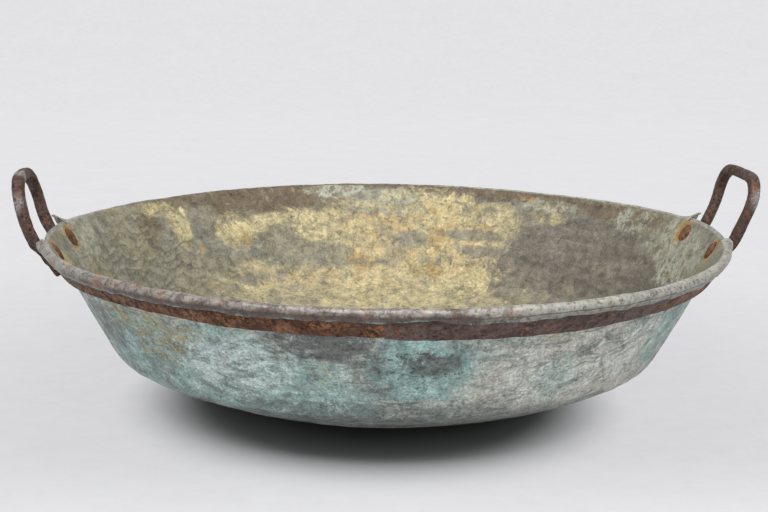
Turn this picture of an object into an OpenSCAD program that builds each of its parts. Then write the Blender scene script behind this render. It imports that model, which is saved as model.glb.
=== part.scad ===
// Copper jam pan: a raised copper bowl whose edge is folded over an iron hoop, with two
// forged iron handles riveted through hoop and wall.
// Millimetres, +Z up. The origin is the middle of the flat that the pan stands on, +X points
// to the right handle and -Y to the front.

/* [Bowl] */
// Diameter over the folded lip
lip_d = 800; // [680:2:900]
// Height of the rim above the surface that the pan stands on
bowl_h = 193; // [160:1:240]
// Thickness of the copper sheet
sheet_t = 2; // [1.5:0.1:2.6]
// Lean of the wall away from upright, in degrees
wall_lean = 28.6; // [22:0.2:33]
// Lean of the flared top of the wall, behind the hoop, in degrees
rim_lean = 34; // [30:0.5:40]
// Depth below the rim at which the wall bends out to its flare
flare_drop = 36; // [35:1:55]
// Height at which the lines of wall and bottom meet
knee_h = 64; // [45:1:85]
// Radius that rounds the knee between wall and bottom
knee_r = 35; // [20:1:55]
// Diameter of the flat at the middle of the bottom
flat_d = 140; // [90:2:220]

/* [Lip] */
// Depth of the folded lip, from the rim down to its lower edge
lip_drop = 13.5; // [11:0.5:17]
// Play of the hoop inside the fold
fold_slack = 0.7; // [0.4:0.1:1.5]
// Length of the turned up ear at each cut end of the lip, measured up its slope
ear_h = 14; // [8:0.5:18]
// Length of each ear along the rim
ear_l = 12; // [8:0.5:18]
// Lean of the ears away from upright, in degrees
ear_lean = 50; // [42:1:60]
// Height of the plain edge between the legs over the place where the fold begins, up its slope
edge_h = 6; // [3:0.5:8]

/* [Hoop] */
// Width of the iron strap, measured along the wall
strap_w = 30; // [26:0.5:31]
// Thickness of the iron strap
strap_t = 6; // [4:0.5:7]
// Direction of the joint at the front, where the short strap begins, in degrees from +X
front_joint = -92; // [-100:1:-80]
// Direction of the joint at the front right, where the short strap ends
right_joint = -48.5; // [-60:0.5:-35]
// Length of the scarf with which the straps lap over each other
scarf_l = 26; // [18:1:36]
// Diameter of the pin through each scarf
pin_d = 6; // [4:0.5:8]

/* [Handles] */
// Thickness of the square handle bar
bar_t = 13; // [11:0.5:15]
// Rounding of the bar's edges
bar_round = 4; // [2:0.5:5]
// Distance between the legs of the left handle, middle to middle
left_handle_w = 101; // [84:1:120]
// Height of the left handle above the rim
left_handle_h = 68; // [60:1:90]
// Distance between the legs of the right handle, middle to middle
right_handle_w = 117; // [90:1:130]
// Height of the right handle above the rim
right_handle_h = 80; // [64:1:95]
// Radius of the middle of the bar in the handle's top corners
corner_r = 21; // [14:1:26]
// Lean of the handles' legs away from upright, in degrees
leg_lean = 16.5; // [8:0.5:24]
// Radius with which each leg bends up from the slope of its foot
leg_bend_r = 60; // [30:1:80]
// Width of the flattened feet
foot_w = 24; // [20:0.5:28]
// Thickness of the flattened feet
foot_t = 9; // [6:0.5:10]
// Distance that the feet reach past the hoop's lower edge
foot_past = 9; // [0:0.5:11]
// Length over which each leg fans out into its foot
fan_l = 12; // [8:1:16]

/* [Rivets] */
// Depth of the handle rivets below the rim
rivet_drop = 16; // [15:0.5:19]
// Diameter of the handle rivets' shanks
rivet_d = 10; // [7:0.5:12]
// Diameter of the flat rivet heads inside the bowl
head_d = 24; // [18:0.5:24]
// Thickness of those heads
head_t = 2.5; // [1.5:0.25:4]
// Diameter of the hammered end of each rivet, on the foot
peen_d = 17; // [14:0.5:19]
// Height of the hammered end
peen_t = 1.6; // [1:0.2:3]

/* [Hidden] */

$fn = 96;

// Gaps between pieces that are hammered tight on each other
hoop_fit = 0.3;
foot_fit = 0.3;
head_fit = 0.3;
peen_fit = 0.05;
hole_fit = 0.15;
scarf_fit = 0.1;

// How far cuts run past what they cut, and the length of the rivet holes' cutters
past = 20;
bore_l = 60;

// Unit vectors of a section through the axis: up the flared rim, and square out of it
rim_up = [sin(rim_lean), cos(rim_lean)];
rim_out = [cos(rim_lean), -sin(rim_lean)];
wall_up = [sin(wall_lean), cos(wall_lean)];
wall_out = [cos(wall_lean), -sin(wall_lean)];

// Fold of the lip: its inner and outer radius, its middle, and where the wall runs into it
fold_in = (strap_t + hoop_fit + fold_slack) / 2;
fold_out = fold_in + sheet_t;
fold_mid = [lip_d / 2 - fold_out, bowl_h - fold_out];
rim_top = fold_mid - fold_in * rim_out;
skirt_l = (lip_drop - fold_out * (1 + sin(rim_lean))) / cos(rim_lean);

// Outer face of the wall at a height, in the flare and below it
function flare_r(z) = rim_top[0] - (rim_top[1] - z) * tan(rim_lean);
bend_z = bowl_h - flare_drop;
function wall_r(z) = flare_r(bend_z) - (bend_z - z) * tan(wall_lean);

// Bottom: a flat, then an arc that leaves the flat without a crease and reaches the knee
flat_r = flat_d / 2;
knee = [wall_r(knee_h), knee_h];
dome_r = (pow(knee[0] - flat_r, 2) + knee_h * knee_h) / (2 * knee_h);
dome_mid = [flat_r, dome_r];

// Knee: an arc that touches the bottom's arc and the wall
knee_from_dome = knee - knee_r * wall_out - dome_mid;
knee_rise = knee_from_dome * wall_up;
knee_rest = knee_from_dome * knee_from_dome - pow(dome_r - knee_r, 2);
knee_slide = -knee_rise - sqrt(knee_rise * knee_rise - knee_rest);
knee_mid = knee - knee_r * wall_out + knee_slide * wall_up;
knee_start = atan2(knee_mid[1] - dome_mid[1], knee_mid[0] - dome_mid[0]);

// Bend between wall and flare, with its middle outside the pan
flare_bend_r = 60;
flare_tangent = flare_bend_r * tan((rim_lean - wall_lean) / 2);
flare_mid = [wall_r(bend_z), bend_z] - flare_tangent * wall_up + flare_bend_r * wall_out;

// Points along an arc about a middle, from one direction to another
function arc(mid, r, from, to, steps) =
    [for (i = [0:steps]) let (a = from + (to - from) * i / steps) mid + r * [cos(a), sin(a)]];
function backwards(points) = [for (i = [len(points) - 1:-1:0]) points[i]];

// Face of the bowl, a depth under its outer face, from the axis up to where the fold starts
function bowl_face(depth) = concat(
    [[0, depth]],
    arc(dome_mid, dome_r - depth, -90, knee_start, 24),
    arc(knee_mid, knee_r - depth, knee_start, -wall_lean, 10),
    arc(flare_mid, flare_bend_r + depth, 180 - wall_lean, 180 - rim_lean, 4));

skirt_end_in = fold_mid + fold_in * rim_out - skirt_l * rim_up;
skirt_end_out = fold_mid + fold_out * rim_out - skirt_l * rim_up;
bowl_section = concat(
    bowl_face(0),
    arc(fold_mid, fold_in, 180 - rim_lean, -rim_lean, 16),
    [skirt_end_in, skirt_end_out],
    arc(fold_mid, fold_out, -rim_lean, 180 - rim_lean, 16),
    backwards(bowl_face(sheet_t)));

// Handle rivets: height of their middles on the wall's outer face
rivet_z = bowl_h - rivet_drop;
rivet_below_top = (rim_top[1] - rivet_z) / cos(rim_lean);

// Feet: how far they lie off the wall, and their reach below and above the rivet
foot_off = hoop_fit + strap_t + foot_fit;
foot_down = strap_w - rivet_below_top + foot_past;
foot_up = 6;

// Root of each leg, where the fan ends and the square bar starts
root_up = foot_up + fan_l;
root_off = foot_off + bar_t / 2;
root_r = flare_r(rivet_z) + root_up * rim_up[0] + root_off * rim_out[0];
root_z = rivet_z + root_up * rim_up[1] + root_off * rim_out[1];
function leg_turn(w) = asin(w / 2 / root_r);

// Ears: they begin beside the fan and end where the lip does. The plain edge and the ears are
// rooted in the wall below the place where the fold begins
ear_beside = 1.5;
ear_gap = foot_w / 2 - ear_beside;
lip_gap = foot_w / 2 + ear_beside + ear_l;
ear_tip = 3;
ear_blunt = 1;
slit = 1;
root_l = 1.5;
root_inset = 0.2;
function along_rim(length) = length / rim_top[0] * 180 / PI;

// Scarfs: half their length as an angle, their thickness at the tip, and their pins' depth
scarf_half = along_rim(scarf_l / 2 - scarf_fit);
scarf_tip = 0.8;
scarf_drop = 20;

// Edges of the straps, and the pins: the width of their cones and how deep their ends lie
strap_ease = 0.8;
pin_cone = 1.2;
pin_sink = 0.2;
pin_half = strap_t / 2 - pin_sink;

// Rings of the forged handles: rounding of the feet, and steps along each stretch
foot_round = 1.5;
foot_edge = 1.5;
ring_steps = 3;
fan_steps = 3;
bend_steps = 4;
corner_steps = 7;

copper_colour = [0.52, 0.57, 0.51];
iron_colour = [0.36, 0.25, 0.22];
rust_colour = [0.55, 0.33, 0.20];

// A frame on the wall's outer face in the flare: X square out of it, Y along the rim, Z up it
module on_flare(turn, drop) {
    z = bowl_h - drop;
    rotate([0, 0, turn])
        translate([flare_r(z), 0, z])
            rotate([0, rim_lean, 0])
                children();
}

// Holes or shanks at the two legs of a handle that is w wide and points to a direction
module at_legs(w, direction) {
    for (side = [-1, 1])
        on_flare(direction + side * leg_turn(w), rivet_drop)
            rotate([0, 90, 0])
                children();
}

module rivet_holes() {
    at_legs(right_handle_w, 0)
        rivet_bore();
    at_legs(left_handle_w, 180)
        rivet_bore();
}

module rivet_bore() {
    cylinder(d = rivet_d + 2 * hole_fit, h = bore_l, center = true);
}

// A section turned like the bowl, but only a half angle to both sides of a direction
module turned_part(points, direction, half) {
    reach = lip_d;
    intersection() {
        rotate_extrude($fn = 180)
            polygon(points);
        rotate([0, 0, direction])
            linear_extrude(2 * bowl_h)
                polygon([[0, 0], reach * [cos(half), -sin(half)], reach * [cos(half), sin(half)]]);
    }
}

// What is cut from the lip at a handle: all that lies over the flare's outer face
module lip_cut(w, direction) {
    off_wall = fold_in / 3;
    clear = rim_top + off_wall * rim_out;
    low = clear - 2 * lip_drop * rim_up;
    high = bowl_h + past;
    far = lip_d / 2 + past;
    inner = rim_top - past * rim_out;
    turned_part([clear, low, [far, low[1]], [far, high], [inner[0], high], inner],
                direction, leg_turn(w) + along_rim(lip_gap));
}

// The plain edge of the wall from ear to ear, with a slit before each ear
module plain_edge(w, direction) {
    inner = rim_top - sheet_t * rim_out;
    inset = root_inset * rim_out;
    turned_part([rim_top, rim_top + edge_h * rim_up, inner + edge_h * rim_up, inner,
                 inner + inset, inner + inset - root_l * rim_up,
                 rim_top - inset - root_l * rim_up, rim_top - inset],
                direction, leg_turn(w) + along_rim(ear_gap - slit));
}

// One ear, standing from the lip's cut end at Y = 0 towards the leg on +Y
module ear() {
    width = lip_gap - ear_gap;
    translate([rim_top[0], 0, rim_top[1]])
        rotate([0, ear_lean, 0])
            rotate([90, 0, -90])
                linear_extrude(sheet_t)
                    mirror([1, 0])
                        polygon([[-ear_blunt, -root_l], [width, -root_l],
                                 [width, ear_h - ear_blunt], [width - ear_blunt, ear_h],
                                 [width - ear_tip, ear_h], [-ear_blunt, root_l]]);
}

module ears(w, direction) {
    half = leg_turn(w) + along_rim(lip_gap);
    rotate([0, 0, direction - half])
        ear();
    rotate([0, 0, direction + half])
        mirror([0, 1, 0])
            ear();
}

module pan_bowl() {
    color(copper_colour)
        difference() {
            union() {
                difference() {
                    rotate_extrude($fn = 180)
                        polygon(bowl_section);
                    lip_cut(right_handle_w, 0);
                    lip_cut(left_handle_w, 180);
                }
                plain_edge(right_handle_w, 0);
                plain_edge(left_handle_w, 180);
                ears(right_handle_w, 0);
                ears(left_handle_w, 180);
            }
            rivet_holes();
        }
}

// The strap from one direction to another, lying on the flare with its top under the fold
module strap(from, to) {
    e = strap_ease;
    top = rim_top + hoop_fit * rim_out;
    points = [for (p = [[0, e], [e, 0], [strap_t - e, 0], [strap_t, e], [strap_t, strap_w - e],
                        [strap_t - e, strap_w], [e, strap_w], [0, strap_w - e]])
        top + p[0] * rim_out - p[1] * rim_up];
    rotate([0, 0, from])
        rotate_extrude(angle = to - from, $fn = 180)
            polygon(points);
}

// What one strap gives up to the other at a joint. The outer piece lies towards growing angles
// where lead is 1 and the other way where it is -1; side 1 is cut from the inner piece, which
// keeps what lies against the wall, and side -1 from the outer one.
module scarf_cut(joint, side, lead) {
    half = scarf_l / 2;
    step = strap_t / 2 - scarf_tip;
    on_flare(joint, scarf_drop)
        translate([hoop_fit + strap_t / 2 - side * scarf_fit / 2, 0, 0])
            scale([side, side * lead, 1])
                linear_extrude(strap_w * 3, center = true)
                    polygon([[step, -half], [-step, half], [-step, half + past],
                             [past, half + past], [past, -half]]);
}

// The middle of a scarf, with Z square out of the strap
module at_scarf(joint) {
    on_flare(joint, scarf_drop)
        translate([hoop_fit + strap_t / 2, 0, 0])
            rotate([0, 90, 0])
                children();
}

// Pin through a scarf, with a cone at each end that the hammer has closed
module scarf_pin(joint) {
    r = pin_d / 2;
    at_scarf(joint)
        rotate_extrude($fn = 48)
            polygon([[0, -pin_half], [r + pin_cone, -pin_half], [r, pin_cone - pin_half],
                     [r, pin_half - pin_cone], [r + pin_cone, pin_half], [0, pin_half]]);
}

// The pin's hole, which runs on past both faces of the strap
module pin_hole(joint) {
    r = pin_d / 2 + hole_fit;
    end = pin_half + past;
    at_scarf(joint)
        rotate_extrude($fn = 48)
            polygon([[0, -end], [r + pin_cone, -end], [r + pin_cone, -pin_half],
                     [r, pin_cone - pin_half], [r, pin_half - pin_cone], [r + pin_cone, pin_half],
                     [r + pin_cone, end], [0, end]]);
}

module pin_holes() {
    for (joint = [front_joint, right_joint])
        pin_hole(joint);
}

module long_hoop_strap() {
    color(iron_colour)
        difference() {
            strap(right_joint - scarf_half, front_joint + 360 + scarf_half);
            scarf_cut(front_joint, 1, 1);
            scarf_cut(right_joint, 1, -1);
            rivet_holes();
            pin_holes();
        }
}

module short_hoop_strap() {
    color(iron_colour)
        difference() {
            strap(front_joint - scarf_half, right_joint + scarf_half);
            scarf_cut(front_joint, -1, 1);
            scarf_cut(right_joint, -1, -1);
            pin_holes();
        }
}

module hoop_joint_pins() {
    color(rust_colour)
        for (joint = [front_joint, right_joint])
            scarf_pin(joint);
}

// Axes of the bar at a lean from upright: square out of it, and along it
function lean_out(lean) = [cos(lean), 0, -sin(lean)];
function lean_up(lean) = [sin(lean), 0, cos(lean)];
function turned(v, a) = [v[0] * cos(a) - v[1] * sin(a), v[0] * sin(a) + v[1] * cos(a), v[2]];

// Outline of the bar's section about a middle, wide along one axis and thick along another
function ring(mid, wide, thick, w, t, r) =
    [for (q = [0:3], i = [0:ring_steps])
        let (a = 90 * (q + i / ring_steps),
             x = (q == 0 || q == 3 ? 1 : -1) * (w / 2 - r) + r * cos(a),
             y = (q < 2 ? 1 : -1) * (t / 2 - r) + r * sin(a))
        mid + x * wide + y * thick];

// Rings up one foot, on the leg that stands on +Y
function foot_rings(turn) =
    let (wide = turned([0, 1, 0], turn),
         thick = turned(lean_out(rim_lean), turn),
         up = turned(lean_up(rim_lean), turn),
         mid = turned([flare_r(rivet_z), 0, rivet_z], turn) + (foot_off + foot_t / 2) * thick)
    [for (z = [-foot_down, -foot_down + foot_round, foot_up])
        let (in = z == -foot_down ? foot_round : 0)
        ring(mid + z * up, wide, thick, foot_w - 2 * in, foot_t - in, foot_edge)];

// Rings through the fan, where the flat foot gathers into the square bar
function fan_rings(turn) =
    let (foot_thick = turned(lean_out(rim_lean), turn),
         foot_mid = turned([flare_r(rivet_z), 0, rivet_z], turn)
             + (foot_off + foot_t / 2) * foot_thick + foot_up * turned(lean_up(rim_lean), turn),
         root_mid = turned([root_r, 0, root_z], turn))
    [for (i = [1:fan_steps])
        let (s = i / (fan_steps + 1),
             ease = s * s * (3 - 2 * s),
             wide = turned([0, 1, 0], turn * (1 - s)),
             thick = turned(lean_out(rim_lean), turn * (1 - s)))
        ring(foot_mid + s * (root_mid - foot_mid), wide, thick,
             foot_w + ease * (bar_t - foot_w), foot_t + s * (bar_t - foot_t),
             foot_edge + s * (bar_round - foot_edge))];

// Rings round the bend above the foot, up the straight leg and round the top corner
function bend_rings(w, bend_mid) =
    [for (i = [0:bend_steps])
        let (lean = rim_lean + (leg_lean - rim_lean) * i / bend_steps)
        bar_ring(bend_mid + leg_bend_r * lean_out(lean) + [0, w / 2, 0], [0, 1, 0], lean)];
function corner_rings(w, leg_end) =
    [for (i = [0:corner_steps])
        let (a = 90 * i / corner_steps,
             out = [0, cos(a), 0] + sin(a) * lean_up(leg_lean))
        bar_ring(leg_end + [0, w / 2 - corner_r, 0] + corner_r * out, out, leg_lean)];
function bar_ring(mid, wide, lean) = ring(mid, wide, lean_out(lean), bar_t, bar_t, bar_round);

// A handle on the right, w between its legs' middles, with its top a height above the rim
module handle(w, h) {
    turn = leg_turn(w);
    bend_mid = [root_r * cos(turn), 0, root_z] - leg_bend_r * lean_out(rim_lean);
    bend_end = bend_mid + leg_bend_r * lean_out(leg_lean);
    leg_top = bowl_h + h - bar_t / 2 - corner_r * cos(leg_lean);
    leg_end = bend_end + (leg_top - bend_end[2]) / cos(leg_lean) * lean_up(leg_lean);
    half = concat(foot_rings(turn), fan_rings(turn), bend_rings(w, bend_mid),
                  corner_rings(w, leg_end));
    n = len(half[0]);
    rings = concat(half, [for (i = [len(half) - 1:-1:0]) [for (p = half[i]) [p[0], -p[1], p[2]]]]);
    last = len(rings) - 1;
    sides = [for (i = [0:last - 1], k = [0:n - 1])
        let (a = i * n + k, b = i * n + (k + 1) % n)
        each [[a, b, b + n], [a, b + n, a + n]]];
    caps = [[for (k = [n - 1:-1:0]) k], [for (k = [0:n - 1]) last * n + k]];
    difference() {
        polyhedron([for (r = rings) each r], concat(sides, caps));
        at_legs(w, 0)
            rivet_bore();
    }
}

module left_handle() {
    color(iron_colour)
        rotate([0, 0, 180])
            handle(left_handle_w, left_handle_h);
}

module right_handle() {
    color(iron_colour)
        handle(right_handle_w, right_handle_h);
}

// A rivet through wall, hoop and foot, with its flat head inside the bowl
module rivet(turn) {
    shank = rivet_d / 2;
    head_back = -sheet_t - head_fit - head_t;
    foot_face = foot_off + foot_t + peen_fit;
    edge = head_t * 0.4;
    color(rust_colour)
        on_flare(turn, rivet_drop)
            rotate([0, 90, 0])
                rotate_extrude($fn = 64)
                    polygon([[0, head_back], [head_d / 2 - edge, head_back],
                             [head_d / 2, head_back + edge], [head_d / 2, head_back + head_t],
                             [shank, head_back + head_t], [shank, foot_face],
                             [peen_d / 2, foot_face], [peen_d / 2 - peen_t, foot_face + peen_t * 0.7],
                             [peen_d / 4, foot_face + peen_t], [0, foot_face + peen_t]]);
}

module right_front_rivet() {
    rivet(-leg_turn(right_handle_w));
}

module right_back_rivet() {
    rivet(leg_turn(right_handle_w));
}

module left_front_rivet() {
    rivet(180 + leg_turn(left_handle_w));
}

module left_back_rivet() {
    rivet(180 - leg_turn(left_handle_w));
}

pan_bowl();
long_hoop_strap();
short_hoop_strap();
hoop_joint_pins();
left_handle();
right_handle();
left_front_rivet();
left_back_rivet();
right_front_rivet();
right_back_rivet();
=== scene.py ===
import math

import bmesh
import bpy
from bpy.props import FloatProperty, FloatVectorProperty, PointerProperty
from mathutils import Matrix, Vector, noise


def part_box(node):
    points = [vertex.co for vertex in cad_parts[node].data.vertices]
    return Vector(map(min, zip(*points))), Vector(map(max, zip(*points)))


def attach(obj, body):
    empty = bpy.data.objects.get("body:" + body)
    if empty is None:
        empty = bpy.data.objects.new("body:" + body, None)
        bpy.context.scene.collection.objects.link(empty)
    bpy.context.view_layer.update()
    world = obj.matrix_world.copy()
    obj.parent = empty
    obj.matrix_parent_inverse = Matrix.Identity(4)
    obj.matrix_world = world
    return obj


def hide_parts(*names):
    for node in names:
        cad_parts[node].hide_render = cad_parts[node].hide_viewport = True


bl_info = {
    "name": "Copper jam pan",
    "version": (1, 0, 0),
    "blender": (4, 5, 0),
    "location": "3D View > Sidebar > Jam pan",
    "description": "Builds an old copper jam pan on its packed frame",
    "category": "Add Mesh",
}

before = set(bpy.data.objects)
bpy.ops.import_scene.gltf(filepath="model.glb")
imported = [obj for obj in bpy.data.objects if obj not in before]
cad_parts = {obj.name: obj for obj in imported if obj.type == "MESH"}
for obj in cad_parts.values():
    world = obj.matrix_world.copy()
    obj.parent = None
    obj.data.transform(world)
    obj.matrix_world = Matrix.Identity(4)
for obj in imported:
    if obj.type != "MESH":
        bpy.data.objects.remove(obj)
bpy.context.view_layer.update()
PAN_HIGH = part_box("pan_bowl")[1]
UP = Vector((0.0, 0.0, 1.0))
RIM_H = 0.193

# Azimuths of the hoop's joints, in degrees from the right handle
FRONT_JOINT = -92.0
RIGHT_JOINT = -48.5

# Spacing of the points in the section, in metres, and how many make each of its curves
FLAT_PITCH = 0.010
WALL_PITCH = 0.0052
LIP_PITCH = 0.003
DOME_STEPS = 27
KNEE_STEPS = 7
BEND_STEPS = 2
FOLD_STEPS = 9

# The pan out of true: swellings of the rim as height in metres, middle and half width in degrees,
# and how far the wall wanders in and out in metres, with the share of it that moves the pan inward
RIM_SWELLS = ((0.0055, 0.0, 42.0), (-0.0035, 142.0, 40.0))
HAMMER_WANDER = 0.0010
WANDER_INWARD = 0.68

# Rows of hammer dimples: height and depth in metres, width in degrees round the pan, and how far
# the rows and columns warp in a wave with so many radians for each degree and each metre of height
DIMPLE_H = 0.013
DIMPLE_TURN = 4.4
DIMPLE_DEPTH = 0.0013
DIMPLE_WARP = 0.34
ROW_WAVE = (0.55, 90.0)
COLUMN_WAVE = (0.37, 230.0)

# The lip's lower edge and the straps': waves as height in metres, count and seed, swellings as
# height in metres, middle and half width in degrees, and the drop of the short strap's edge
LIP_WAVES = ((0.0009, 9.0, 1.0), (0.0008, 30.0, 5.0))
LIP_SWELLS = ((0.0030, -88.5, 5.0), (-0.0024, -82.0, 4.5))
STRAP_WAVES = ((0.0007, 12.0, 9.0), (0.0006, 45.0, 7.0))
LONG_STRAP_SWELLS = ((0.0042, -134.0, 20.0),)
SHORT_STRAP_DROP = 0.0040

# The torn ears at the back and at the front: length in ear lengths, how far the fold opens there,
# and how much longer or shorter the sheet is than the fold
BACK_EARS = (1.0, 0.87, 0.20)
FRONT_EARS = (0.5, 0.55, -0.22)

# The handles' feet and bars: how far a foot reaches above its rivet, the rounding of a foot's edges,
# how much it grows along the fan, the rounding of a bar's edges, and the rings in the fan, the bend,
# the leg, a corner and half the grip
FOOT_UP = 0.006
FOOT_EDGE = 0.0022
FAN_EDGE = 0.0018
BAR_EDGE = 0.0034
FAN_RINGS = 4
BEND_RINGS = 5
LEG_RINGS = 5
CORNER_RINGS = 8
GRIP_RINGS = 3

# Worn places on the handles, painted bright as highlights as well as wear: middle and reach in metres
WEAR_AND_HIGHLIGHT_PLACES = (((-0.424, -0.048, 0.230), 0.017), ((0.431, -0.068, 0.243), 0.019),
               ((-0.420, -0.020, 0.262), 0.012))

# Softness of the patches' edges, and slant of the streaks outside in radians
PATCH_SOFTNESS = 0.24
STREAK_SLANT = 0.75

# Middle of the painted shadow on the floor, its squeeze, and the distances in metres over which the
# painted shadow and the floor as the camera sees it set in
SHADOW_SHIFT = (0.015, 0.027, 0.0)
SHADOW_SQUEEZE = (1.0, 0.9, 1.0)
PAINTED_SHADOW_REACH = (0.10, 0.33)
GLOW_REACH = (0.19, 0.31)


def length(label, text, default):
    return FloatProperty(name=label, description=text, default=default, subtype="DISTANCE",
                         unit="LENGTH")


def angle(label, text, degrees):
    return FloatProperty(name=label, description=text, default=math.radians(degrees),
                         subtype="ANGLE")


def colour(label, text, default):
    return FloatVectorProperty(name=label, description=text, default=default, size=3, min=0.0,
                               max=1.0, subtype="COLOR")


class PanSizes(bpy.types.PropertyGroup):
    """Sizes of the pan, its hoop and its handles"""

    lip_r: length("Lip radius", "Radius over the folded lip", PAN_HIGH.y)
    rim_h: length("Rim height", "Height of the rim above the floor", RIM_H)
    sheet: length("Sheet", "Thickness of the copper sheet", 0.002)
    wall_lean: angle("Wall lean", "Lean of the wall away from upright", 28.6)
    rim_lean: angle("Rim lean", "Lean of the flared top of the wall", 34.0)
    flare_drop: length("Flare depth", "Depth of the flare below the rim", 0.036)
    knee_h: length("Knee height", "Height at which wall and bottom meet", 0.064)
    knee_r: length("Knee radius", "Radius that rounds the knee", 0.035)
    flat_r: length("Flat radius", "Radius of the flat under the pan", 0.070)
    flare_r: length("Flare bend", "Radius of the bend between wall and flare", 0.060)
    lip_drop: length("Lip depth", "Depth of the folded lip below the rim", 0.0135)
    fold_r: length("Fold radius", "Inner radius of the fold round the hoop", 0.0035)
    edge_h: length("Plain edge", "Height of the plain edge between a handle's legs", 0.006)
    ear_l: length("Ear length", "Length along the rim of a torn ear at the back", 0.030)
    ear_lap: length("Ear lap", "How far an ear leans along the rim against its leg", 0.005)
    strap_w: length("Strap width", "Width of the iron hoop", 0.030)
    strap_t: length("Strap thickness", "Thickness of the iron hoop", 0.006)
    scarf_l: length("Scarf length", "Length of the hoop's lapped joints", 0.026)
    pin_r: length("Pin radius", "Radius of the pins through the scarfs", 0.0042)
    bar: length("Handle bar", "Thickness of the handles' square bar", 0.013)
    left_splay: length("Left splay", "How much each left leg spreads towards its top", 0.006)
    right_splay: length("Right splay", "How much each right leg spreads towards its top", 0.008)
    left_corner: length("Left corner", "Radius of the left handle's top corners", 0.036)
    right_corner: length("Right corner", "Radius of the right handle's top corners", 0.029)
    left_arch: length("Left arch", "Rise of the left grip's middle over its ends", 0.0055)
    right_arch: length("Right arch", "Rise of the right grip's middle over its ends", 0.0015)
    left_lean: angle("Left lean", "Mean lean of the left legs away from upright", 20.0)
    right_lean: angle("Right lean", "Mean lean of the right legs away from upright", 18.9)
    leg_curve: angle("Leg curve", "How much more a leg leans at its foot, and less at its top", 7.5)
    leg_bend_r: length("Leg bend", "Radius of the bend above each foot", 0.060)
    left_w: length("Left handle width", "Distance between the left handle's legs", 0.101)
    left_h: length("Left handle height", "Height of the left handle above the rim", 0.072)
    right_w: length("Right handle width", "Distance between the right handle's legs", 0.117)
    right_h: length("Right handle height", "Height of the right handle above the rim", 0.080)
    foot_w: length("Foot width", "Width of the flattened feet", 0.024)
    foot_t: length("Foot thickness", "Thickness of the flattened feet", 0.009)
    foot_past: length("Foot reach", "Reach of the feet past the hoop", 0.009)
    fan_l: length("Fan length", "Length over which a leg fans into its foot", 0.012)
    rivet_drop: length("Rivet depth", "Depth of the rivets below the rim", 0.016)
    rivet_r: length("Rivet radius", "Radius of the rivets' shanks", 0.005)
    head_r: length("Head radius", "Radius of the rivets' heads inside the bowl", 0.012)
    head_t: length("Head thickness", "Thickness of those heads", 0.0025)
    peen_r: length("Peen radius", "Radius of the rivets' hammered ends", 0.0085)
    peen_t: length("Peen height", "Height of the hammered ends", 0.0016)
    seat: length("Seat", "Gap between pieces hammered tight on each other", 0.0003)


class PanColours(bpy.types.PropertyGroup):
    """Colours of the copper's patina and of the iron"""

    khaki: colour("Khaki patina", "Dull yellow-grey patina inside the bowl", (0.310, 0.282, 0.185))
    ash: colour("Ash patina", "Grey patina inside the bowl", (0.265, 0.250, 0.200))
    umber: colour("Umber patina", "Dark patina inside on the right", (0.172, 0.154, 0.126))
    cream: colour("Cream crust", "Pale crust boiled onto the inside", (0.64, 0.545, 0.305))
    plum: colour("Plum patina", "Brown patina under the back rim", (0.165, 0.122, 0.076))
    rust: colour("Rust stain", "Orange rust", (0.42, 0.19, 0.070))
    halo: colour("Halo", "Yellow stain round the rivets inside the bowl", (0.46, 0.38, 0.15))
    rust_dark: colour("Dark rust", "Red-brown rust of the handles", (0.305, 0.120, 0.050))
    mint: colour("Mint bloom", "Pale green-grey bloom near the rim", (0.47, 0.48, 0.38))
    sage: colour("Sage patina", "Grey-green patina outside", (0.50, 0.55, 0.50))
    verdigris: colour("Verdigris", "Blue-green verdigris outside", (0.31, 0.52, 0.49))
    chalk: colour("Chalk", "White bloom outside", (0.72, 0.78, 0.74))
    olive: colour("Olive streaks", "Olive streaks outside on the left", (0.32, 0.25, 0.09))
    slate: colour("Slate", "Dark patches outside", (0.110, 0.112, 0.108))
    bone: colour("Bone", "Pale tan patina outside on the right", (0.56, 0.54, 0.47))
    lip: colour("Lip", "Purple-brown lip at the left and the front", (0.120, 0.084, 0.070))
    lip_right: colour("Right lip", "Grey-green lip at the right", (0.395, 0.395, 0.330))
    # Painted highlight as well as wear: the pale crest of the lip
    lip_wear_and_highlight: colour("Worn lip", "Worn crest of the folded lip", (0.450, 0.425, 0.390))
    hoop: colour("Hoop", "Rusty iron of the hoop", (0.134, 0.058, 0.033))
    strap: colour("Short strap", "Purple-brown iron of the short strap", (0.154, 0.098, 0.080))
    handle: colour("Handle", "Dark iron of the handles", (0.124, 0.079, 0.063))
    rivet: colour("Rivet", "Rusty iron of the rivets and pins", (0.16, 0.075, 0.038))
    # Painted highlight as well as wear: the bright colour of the handles' rubbed places
    wear_and_highlight: colour("Worn iron", "Bright worn iron", (0.41, 0.39, 0.38))
    floor: colour("Floor", "Floor round the pan", (0.73, 0.73, 0.745))
    # Painted shadow: the floor's colour under the pan, darker than the floor round it
    under: colour("Under the pan", "Floor in the pan's own shade", (0.26, 0.26, 0.265))
    front: colour("Front", "Floor seen in front of the pan", (0.80, 0.80, 0.82))
    backdrop: colour("Backdrop", "Floor and backdrop seen further off", (0.750, 0.750, 0.765))


def sizes():
    return bpy.context.scene.pan_sizes


def colours():
    return bpy.context.scene.pan_colours


# Section of the pan, its points written as vectors of radius and height


def up_along(lean):
    return Vector((math.sin(lean), math.cos(lean)))


def out_from(lean):
    return Vector((math.cos(lean), -math.sin(lean)))


def arc(middle, radius, start, end, steps):
    turns = [start + (end - start) * i / steps for i in range(steps + 1)]
    return [middle + radius * Vector((math.cos(t), math.sin(t))) for t in turns]


def fold_middle(s):
    outer = s.fold_r + s.sheet
    return Vector((s.lip_r - outer, s.rim_h - outer))


def rim_top(s):
    """Where the wall's outer face runs into the fold"""
    return fold_middle(s) - s.fold_r * out_from(s.rim_lean)


def flare_face(s, height):
    """Radius of the flare's outer face at a height"""
    top = rim_top(s)
    return top.x - (top.y - height) * math.tan(s.rim_lean)


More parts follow.
